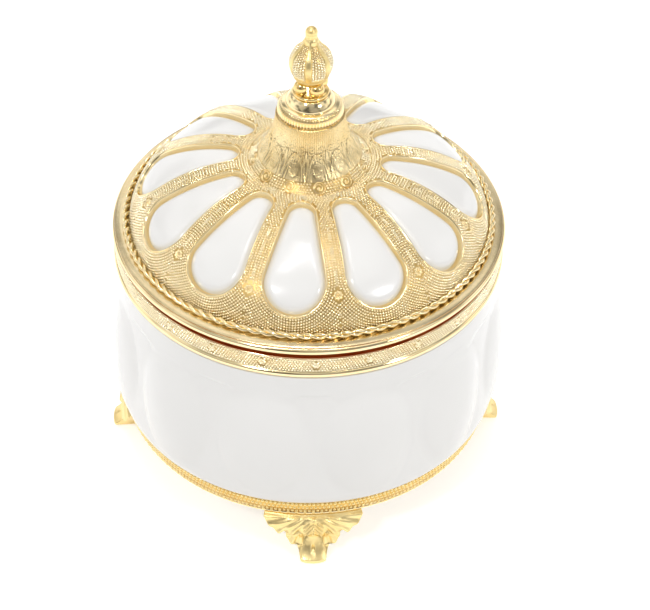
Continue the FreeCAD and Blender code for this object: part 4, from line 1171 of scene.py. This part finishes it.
MILLS = 66
MILL_DEPTH = 0.7
CAP_BORE = 8.8
CAP_EDGE_R = 10.6
CAP_EDGE_TOP = NECK_Z + 4.4
CAP_TOP_R = 6.2


def make_cap():
    """Polished cap whose rounded lower edge is milled."""
    low, belly, top = (CAP_EDGE_R - 0.6, NECK_Z), (CAP_EDGE_R, NECK_Z + 1.6), (CAP_EDGE_R - 2.6, CAP_EDGE_TOP)
    profile = path([(CAP_BORE, NECK_Z - 2.0), (CAP_BORE, NECK_Z), low],
                   arc(low, belly, 1.3, "left", 10), arc(belly, top, 2.75, "left", 22),
                   arc(top, (CAP_TOP_R, CAP_Z), 6.4, "left", 20), [(STUD_BORE, CAP_Z)])
    ring = angles(MILLS * 8)[None, :]
    level = profile[:, None, 1]
    on_edge = smooth_step(NECK_Z, NECK_Z + 0.5, level)
    on_edge = on_edge * (1 - smooth_step(CAP_EDGE_TOP - 0.9, CAP_EDGE_TOP - 0.3, level))
    radius = profile[:, None, 0] - MILL_DEPTH * on_edge * np.abs(np.cos(MILLS / 2 * ring)) ** 3
    radius = radius - 0.25 * ridge(level - CAP_EDGE_TOP, 0.25)
    return Shape().grid(turn(radius, ring, level), (0, 0, NECK_Z + 2))


BALLS = 4
BALL = 2.5
BALL_CIRCLE = 3.5
BALL_TURN = math.radians(29.4)
BALL_ROWS, BALL_COLUMNS = 20, 32
BALL_FOOT_R = 5.4
BALL_FOOT_BEAD = 0.65
BALL_CORE_R = 3.9


def make_balls():
    """Four balls round a core that stands on a bead."""
    bead = (BALL_FOOT_R + 0.5, CAP_Z + BALL_FOOT_BEAD)
    core_z = CAP_Z + 2 * BALL_FOOT_BEAD
    shape = Shape().revolve(path(
        [(STUD_BORE, CAP_Z)], arc((BALL_FOOT_R, CAP_Z), bead, BALL_FOOT_BEAD, "left", 6),
        arc(bead, (BALL_FOOT_R, core_z), BALL_FOOT_BEAD, "left", 6),
        [(BALL_CORE_R, core_z), (BALL_CORE_R, BUD_Z), (STUD_BORE, BUD_Z)]), 96)
    tilt = np.linspace(AXIS_R, np.pi - AXIS_R, BALL_ROWS)[:, None]
    ring = angles(BALL_COLUMNS)[None, :]
    ball = BALL * np.stack([np.sin(tilt) * np.cos(ring), np.sin(tilt) * np.sin(ring),
                            np.cos(tilt) + 0 * ring], axis=-1)
    for angle in angles(BALLS, BALL_TURN):
        middle = turn(BALL_CIRCLE, angle, BUD_Z - BALL - 0.1)
        shape.grid(ball + middle, middle)
    return shape


BUD_LEAVES = 6
BUD_LEAF = 2 * math.pi / BUD_LEAVES
BUD_TURN = math.radians(-10)
BUD_FOOT_R = 4.55
BUD_R = 6.98
BUD_SHOULDER_R = 4.5
BUD_NECK_R = 1.85
PIP = 1.93
RIB_RISE = 0.10
RIB_SHARE = (0.12, 0.16)
BUD_RIBS_LOW, BUD_RIBS_HIGH = (2.0, 3.0), (13.0, 14.4)
BUD_RINGS = ((0.30, 1.0, 0.40), (-0.25, 15.2, 0.35))  # height, place up the bud, width
PANEL_SINK = 0.34
PANEL_DEPTH = 0.31
PANEL_LOW = 2.6
PANEL_HIGH = 13.4
PANEL_SHARE = (0.155, 0.845)
BUD_GRAIN = 0.86
BUD_GRAIN_RUN = (3.2, 14.9)
BUD_GRAIN_STEP = 0.14
BUD_GRAIN_LEAST = 0.42
BUD_GRAIN_COLUMNS = 5
BUD_GRAIN_SIZE = (0.55, 1.0)
BUD_GRAIN_FORM = button(0.46, 0.44)


def bud_profile():
    swell, shoulder, neck = (BUD_R, BUD_Z + 6.0), (BUD_SHOULDER_R, BUD_Z + 11.0), (BUD_NECK_R, BUD_Z + 16.5)
    pip = (PIP, neck[1] + math.sqrt(PIP ** 2 - BUD_NECK_R ** 2))
    return path(arc((BUD_FOOT_R, BUD_Z), swell, 9.7, "left", 30), arc(swell, shoulder, 7.8, "left", 30),
                arc(shoulder, neck, 7.6, "right", 26), arc(neck, pip, PIP, "left", 6),
                arc(pip, (AXIS_R, pip[1] + PIP - 0.001), PIP, "left", 12))


BUD_PATH = bud_profile()
BUD_RISE = BUD_PATH[:, 1] - BUD_Z


def make_bud():
    """The bud's body: smooth raised ribs between leaf panels that are set back a little."""
    ring = angles(BUD_LEAVES * 48)
    x = ((ring - BUD_TURN) / BUD_LEAF + 0.5) % 1.0 - 0.5
    rise = BUD_RISE[:, None]
    body = smooth_step(*BUD_RIBS_LOW, rise) * (1 - smooth_step(*BUD_RIBS_HIGH, rise))
    rib = 1 - smooth_step(*RIB_SHARE, np.abs(x))[None, :]
    relief = body * (RIB_RISE * rib - PANEL_SINK * (1 - rib))
    for height, at, width in BUD_RINGS:
        relief = relief + height * ridge(rise - at, width)
    shape = Shape().grid(raised(BUD_PATH, relief, ring), BUD_MIDDLE)
    return shape.revolve(path([(STUD_BORE, BUD_Z), (BUD_FOOT_R, BUD_Z)]), 96)


def make_bud_panels():
    """Ground of the leaf panels between the bud's ribs, in a darker gold that paints their shade."""
    ground = BUD_PATH - PANEL_DEPTH * outward(BUD_PATH)
    radius, level = ground[(BUD_RISE > PANEL_LOW) & (BUD_RISE < PANEL_HIGH)].T[:, :, None]
    shape = Shape()
    for leaf in range(BUD_LEAVES):
        angle = BUD_TURN + (leaf + np.linspace(*PANEL_SHARE, 24)) * BUD_LEAF
        shape.grid(turn(radius, angle[None, :], level), BUD_MIDDLE, closed=False)
    return shape


def make_bud_grain():
    """Granules in columns that run up each leaf panel of the bud."""
    shape = Shape()
    run = travel(BUD_PATH)
    for leaf in range(BUD_LEAVES):
        for number in range(BUD_GRAIN_COLUMNS):
            at = np.arange(*BUD_GRAIN_RUN, BUD_GRAIN) + 0.5 * BUD_GRAIN * (number % 2)
            radius, level, normal_r, normal_z = on_profile(BUD_PATH, run, at)
            angle = BUD_TURN + (leaf + 0.5 + (number - BUD_GRAIN_COLUMNS // 2) * BUD_GRAIN_STEP) * BUD_LEAF
            room = radius * BUD_LEAF * BUD_GRAIN_STEP
            keep = room > BUD_GRAIN_LEAST
            places = turn(radius - PANEL_DEPTH * normal_r, angle, level - PANEL_DEPTH * normal_z)[keep]
            size = np.clip(room[keep], *BUD_GRAIN_SIZE) * uneven(int(keep.sum()), 0.08)
            shape.stamp(BUD_GRAIN_FORM, places, turn(normal_r, angle, normal_z)[keep], size)
    return shape


# The pieces. Their order is also that of the random draws.

# The ground under the lid's granules, the neck's foot and the bud's panels carries the painted shade between
# beads.
make_piece("lid_ground", make_field(), gold_ground_painted_shade, "lid", "lid_shell")
make_piece("lid_window_frames", make_frames(), gold_bright, "lid")
# The granules here and on the neck, collar and bud carry the painted highlight gold.
make_piece("lid_granulation", make_grain(range(WINDOWS // 2)), gold_grain_painted_light, "lid")
make_piece("lid_granulation_far", make_grain(range(WINDOWS // 2, WINDOWS)), gold_grain_painted_light, "lid")
make_piece("lid_neck_granulation", make_neck_grain(), gold_grain_painted_light, "lid")
make_piece("lid_rosettes", make_rosettes(), gold_relief, "lid")
make_piece("lid_neck_foot", make_neck_foot(), gold_ground_painted_shade, "lid")
make_piece("lid_neck_rosettes", make_neck_rosettes(), gold_relief, "lid")
make_piece("lid_neck", make_neck(), gold_brushed_painted_reflection, "lid")
make_piece("lid_flange", make_flange(), gold_flange_painted_reflection, "lid")
make_piece("lid_bead", make_lid_rim(), gold_bright, "lid", "lid_rim")
make_piece("lid_rope", make_rope(), gold_bright, "lid", "rope_border")
make_piece("lid_insert", make_insert(), white_petal, "lid", "petal_dome", slot="porcelain")
make_piece("lid_petals", make_petals(), white_petal, "lid", slot="porcelain")
make_piece("collar", make_collar(), gold_bright, "jar", "rim_collar")
make_piece("collar_ground", make_band_ground(COLLAR_R - 0.2, SKIRT_Z + 2.6, COLLAR_R - 0.2, COLLAR_Z - 0.3),
           gold_ground_painted_shade, "jar")
# The base band's ground carries the painted shade between its beads.
make_piece("base_ground", make_band_ground(BASE_BOTTOM_R + 0.45, FOOT_HEIGHT + 1.4,
                                           BASE_TOP_R - 0.4, BASE_TOP_Z - 0.9), gold_base_painted_shade, "jar")
# The collar's top and the lid's hollow and crease carry the painted gap shade.
make_piece("collar_ledge", make_collar_ledge(), gold_painted_gap_shade, "jar")
make_piece("lid_recess", make_lid_recess(), gold_painted_gap_shade, "lid")
make_piece("collar_granulation", make_collar_grain(), gold_grain_painted_light, "jar")
make_piece("lobed_bowl", make_bowl(), white_glaze, "jar", "bowl", slot="porcelain")
make_piece("base_band", make_base_ring(), gold_bright, "jar", "base_ring")
make_piece("base_beads", make_base_grain(), gold_satin, "jar")
for foot, foot_angle in zip(("foot_front", "foot_right", "foot_back", "foot_left"), angles(4)):
    make_piece(f"{foot}_palmette", make_foot(foot_angle), gold_satin, "jar", foot)
make_piece("finial_milled_cap", make_cap(), gold_bright, "lid", "finial_cap")
make_piece("finial_balls", make_balls(), gold_balls, "lid", "finial_ball_ring")
make_piece("finial_bud_body", make_bud(), gold_satin, "lid", "finial_bud")
make_piece("finial_bud_panels", make_bud_panels(), gold_ground_painted_shade, "lid")
make_piece("finial_bud_grain", make_bud_grain(), gold_grain_painted_light, "lid")

# The solids that stay as they are, inside the jar.
HIDDEN = {"foot_screws": steel, "tie_rod": steel, "lid_nut": steel, "lid_washer": steel,
          "fibre_washer": fibre}
for node, material in HIDDEN.items():
    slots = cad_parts[node].data.materials
    slots.clear()
    slots.append(material)


# The floor and the room

FLOOR_HALF = 3.0
FLOOR_COLOUR = (0.85, 0.85, 0.85, 1)
FLOOR_GLOW = 0.50
WHITE = (1, 1, 1, 1)
ROOM_FRONT, ROOM_FRONT_Y = 0.30, -0.95
ROOM_BACK, ROOM_BACK_Y = 0.90, 0.15
PATCH_DARK, PATCH_BRIGHT = 0.35, 1.45
PATCH_SCALE = 2.4
PATCH_EDGE = (0.40, 0.60)


def combine(tree, operation, first, second):
    """Math node on two sockets, or on a socket and a number."""
    node = tree.nodes.new("ShaderNodeMath")
    node.operation = operation
    tree.links.new(first, node.inputs[0])
    if isinstance(second, float):
        node.inputs[1].default_value = second
    else:
        tree.links.new(second, node.inputs[1])
    return node.outputs[0]


floor_mesh = bpy.data.meshes.new("floor")
floor_mesh.from_pydata([(x * FLOOR_HALF, y * FLOOR_HALF, 0) for x, y in ((-1, -1), (1, -1), (1, 1), (-1, 1))],
                       [], [(0, 1, 2, 3)])
floor = bpy.data.objects.new("floor", floor_mesh)
bpy.context.scene.collection.objects.link(floor)

paper, paper_tree, paper_shader = new_material("floor_paper")
paper_shader.inputs["Base Color"].default_value = FLOOR_COLOUR
paper_shader.inputs["Roughness"].default_value = 0.9
paper_shader.inputs["Specular IOR Level"].default_value = 0.0
paper_shader.inputs["Emission Color"].default_value = WHITE
rays = paper_tree.nodes.new("ShaderNodeLightPath").outputs
seen = combine(paper_tree, "MAXIMUM", rays["Is Camera Ray"], rays["Is Glossy Ray"])
seen = combine(paper_tree, "MAXIMUM", seen, rays["Is Transmission Ray"])
glow = combine(paper_tree, "MULTIPLY", seen, FLOOR_GLOW)
paper_tree.links.new(glow, paper_shader.inputs["Emission Strength"])
floor.data.materials.append(paper)

# The room is bright behind the jar and darker towards the viewer, with soft patches for the gilt to mirror.
world = bpy.data.worlds.new("studio")
bpy.context.scene.world = world
world.use_nodes = True
sky = world.node_tree
background = sky.nodes["Background"]
background.inputs["Color"].default_value = WHITE
direction = sky.nodes.new("ShaderNodeTexCoord")
split = sky.nodes.new("ShaderNodeSeparateXYZ")
sky.links.new(direction.outputs["Generated"], split.inputs["Vector"])
shade = ramp(sky, split.outputs["Y"], ROOM_FRONT, ROOM_BACK, ROOM_FRONT_Y, ROOM_BACK_Y, "SMOOTHSTEP")
patches = noise(sky, PATCH_SCALE, 1.0, "Generated")
patches = ramp(sky, patches, PATCH_DARK, PATCH_BRIGHT, *PATCH_EDGE, "SMOOTHSTEP")
sky.links.new(combine(sky, "MULTIPLY", shade, patches), background.inputs["Strength"])

# Lamps: place and target in metres, width, height and watts.
LAMPS = {"key": ((-0.50, -0.75, 1.15), (0, 0, 0.1), 0.14, 0.14, 3.4),
         "fill": ((0.75, -0.70, 0.75), (0, 0, 0.08), 0.14, 0.14, 2.2),
         "strip_left": ((-0.08, -0.10, 1.2), (0, 0, 0.1), 0.035, 0.5, 0.9),
         "strip_right": ((0.07, -0.10, 1.2), (0, 0, 0.1), 0.035, 0.5, 0.9)}
for name, (place, target, width, height, watts) in LAMPS.items():
    lamp = bpy.data.lights.new(name, "AREA")
    lamp.shape = "RECTANGLE"
    lamp.size, lamp.size_y = width, height
    lamp.energy = watts
    lamp_object = bpy.data.objects.new(name, lamp)
    bpy.context.scene.collection.objects.link(lamp_object)
    aim = Vector(target) - Vector(place)
    lamp_object.matrix_world = Matrix.Translation(place) @ aim.to_track_quat("-Z", "Y").to_matrix().to_4x4()

# The camera, fitted to the photo. AIM_PIXEL is where the photo shows the point that it looks at.
IMAGE_WIDTH, IMAGE_HEIGHT = 650, 610
SENSOR = 36.0
FOCAL_PIXELS = 1868.7
VIEW_DISTANCE = 0.620
VIEW_ELEVATION = math.radians(39.93)
VIEW_AZIMUTH = math.radians(-2.6)
VIEW_ROLL = math.radians(0.82)
AIM = Vector((0, 0, BEAD_Z * MM))
AIM_PIXEL = (308.9, 217.2)
camera_data = bpy.data.cameras.new("photo")
camera = bpy.data.objects.new("photo", camera_data)
bpy.context.scene.collection.objects.link(camera)
camera_data.sensor_fit = "HORIZONTAL"
camera_data.sensor_width = SENSOR
camera_data.lens = FOCAL_PIXELS / IMAGE_WIDTH * SENSOR
camera_data.shift_x = (IMAGE_WIDTH / 2 - AIM_PIXEL[0]) / IMAGE_WIDTH
camera_data.shift_y = (AIM_PIXEL[1] - IMAGE_HEIGHT / 2) / IMAGE_WIDTH
camera_data.clip_start = 0.01
away = Vector((math.cos(VIEW_ELEVATION) * math.sin(VIEW_AZIMUTH),
               -math.cos(VIEW_ELEVATION) * math.cos(VIEW_AZIMUTH), math.sin(VIEW_ELEVATION)))
look = (-away).to_track_quat("-Z", "Y").to_matrix().to_4x4()
look = look @ Matrix.Rotation(VIEW_ROLL, 4, "Z")
camera.matrix_world = Matrix.Translation(AIM + away * VIEW_DISTANCE) @ look
bpy.context.scene.camera = camera
bpy.context.scene.view_settings.view_transform = "Standard"
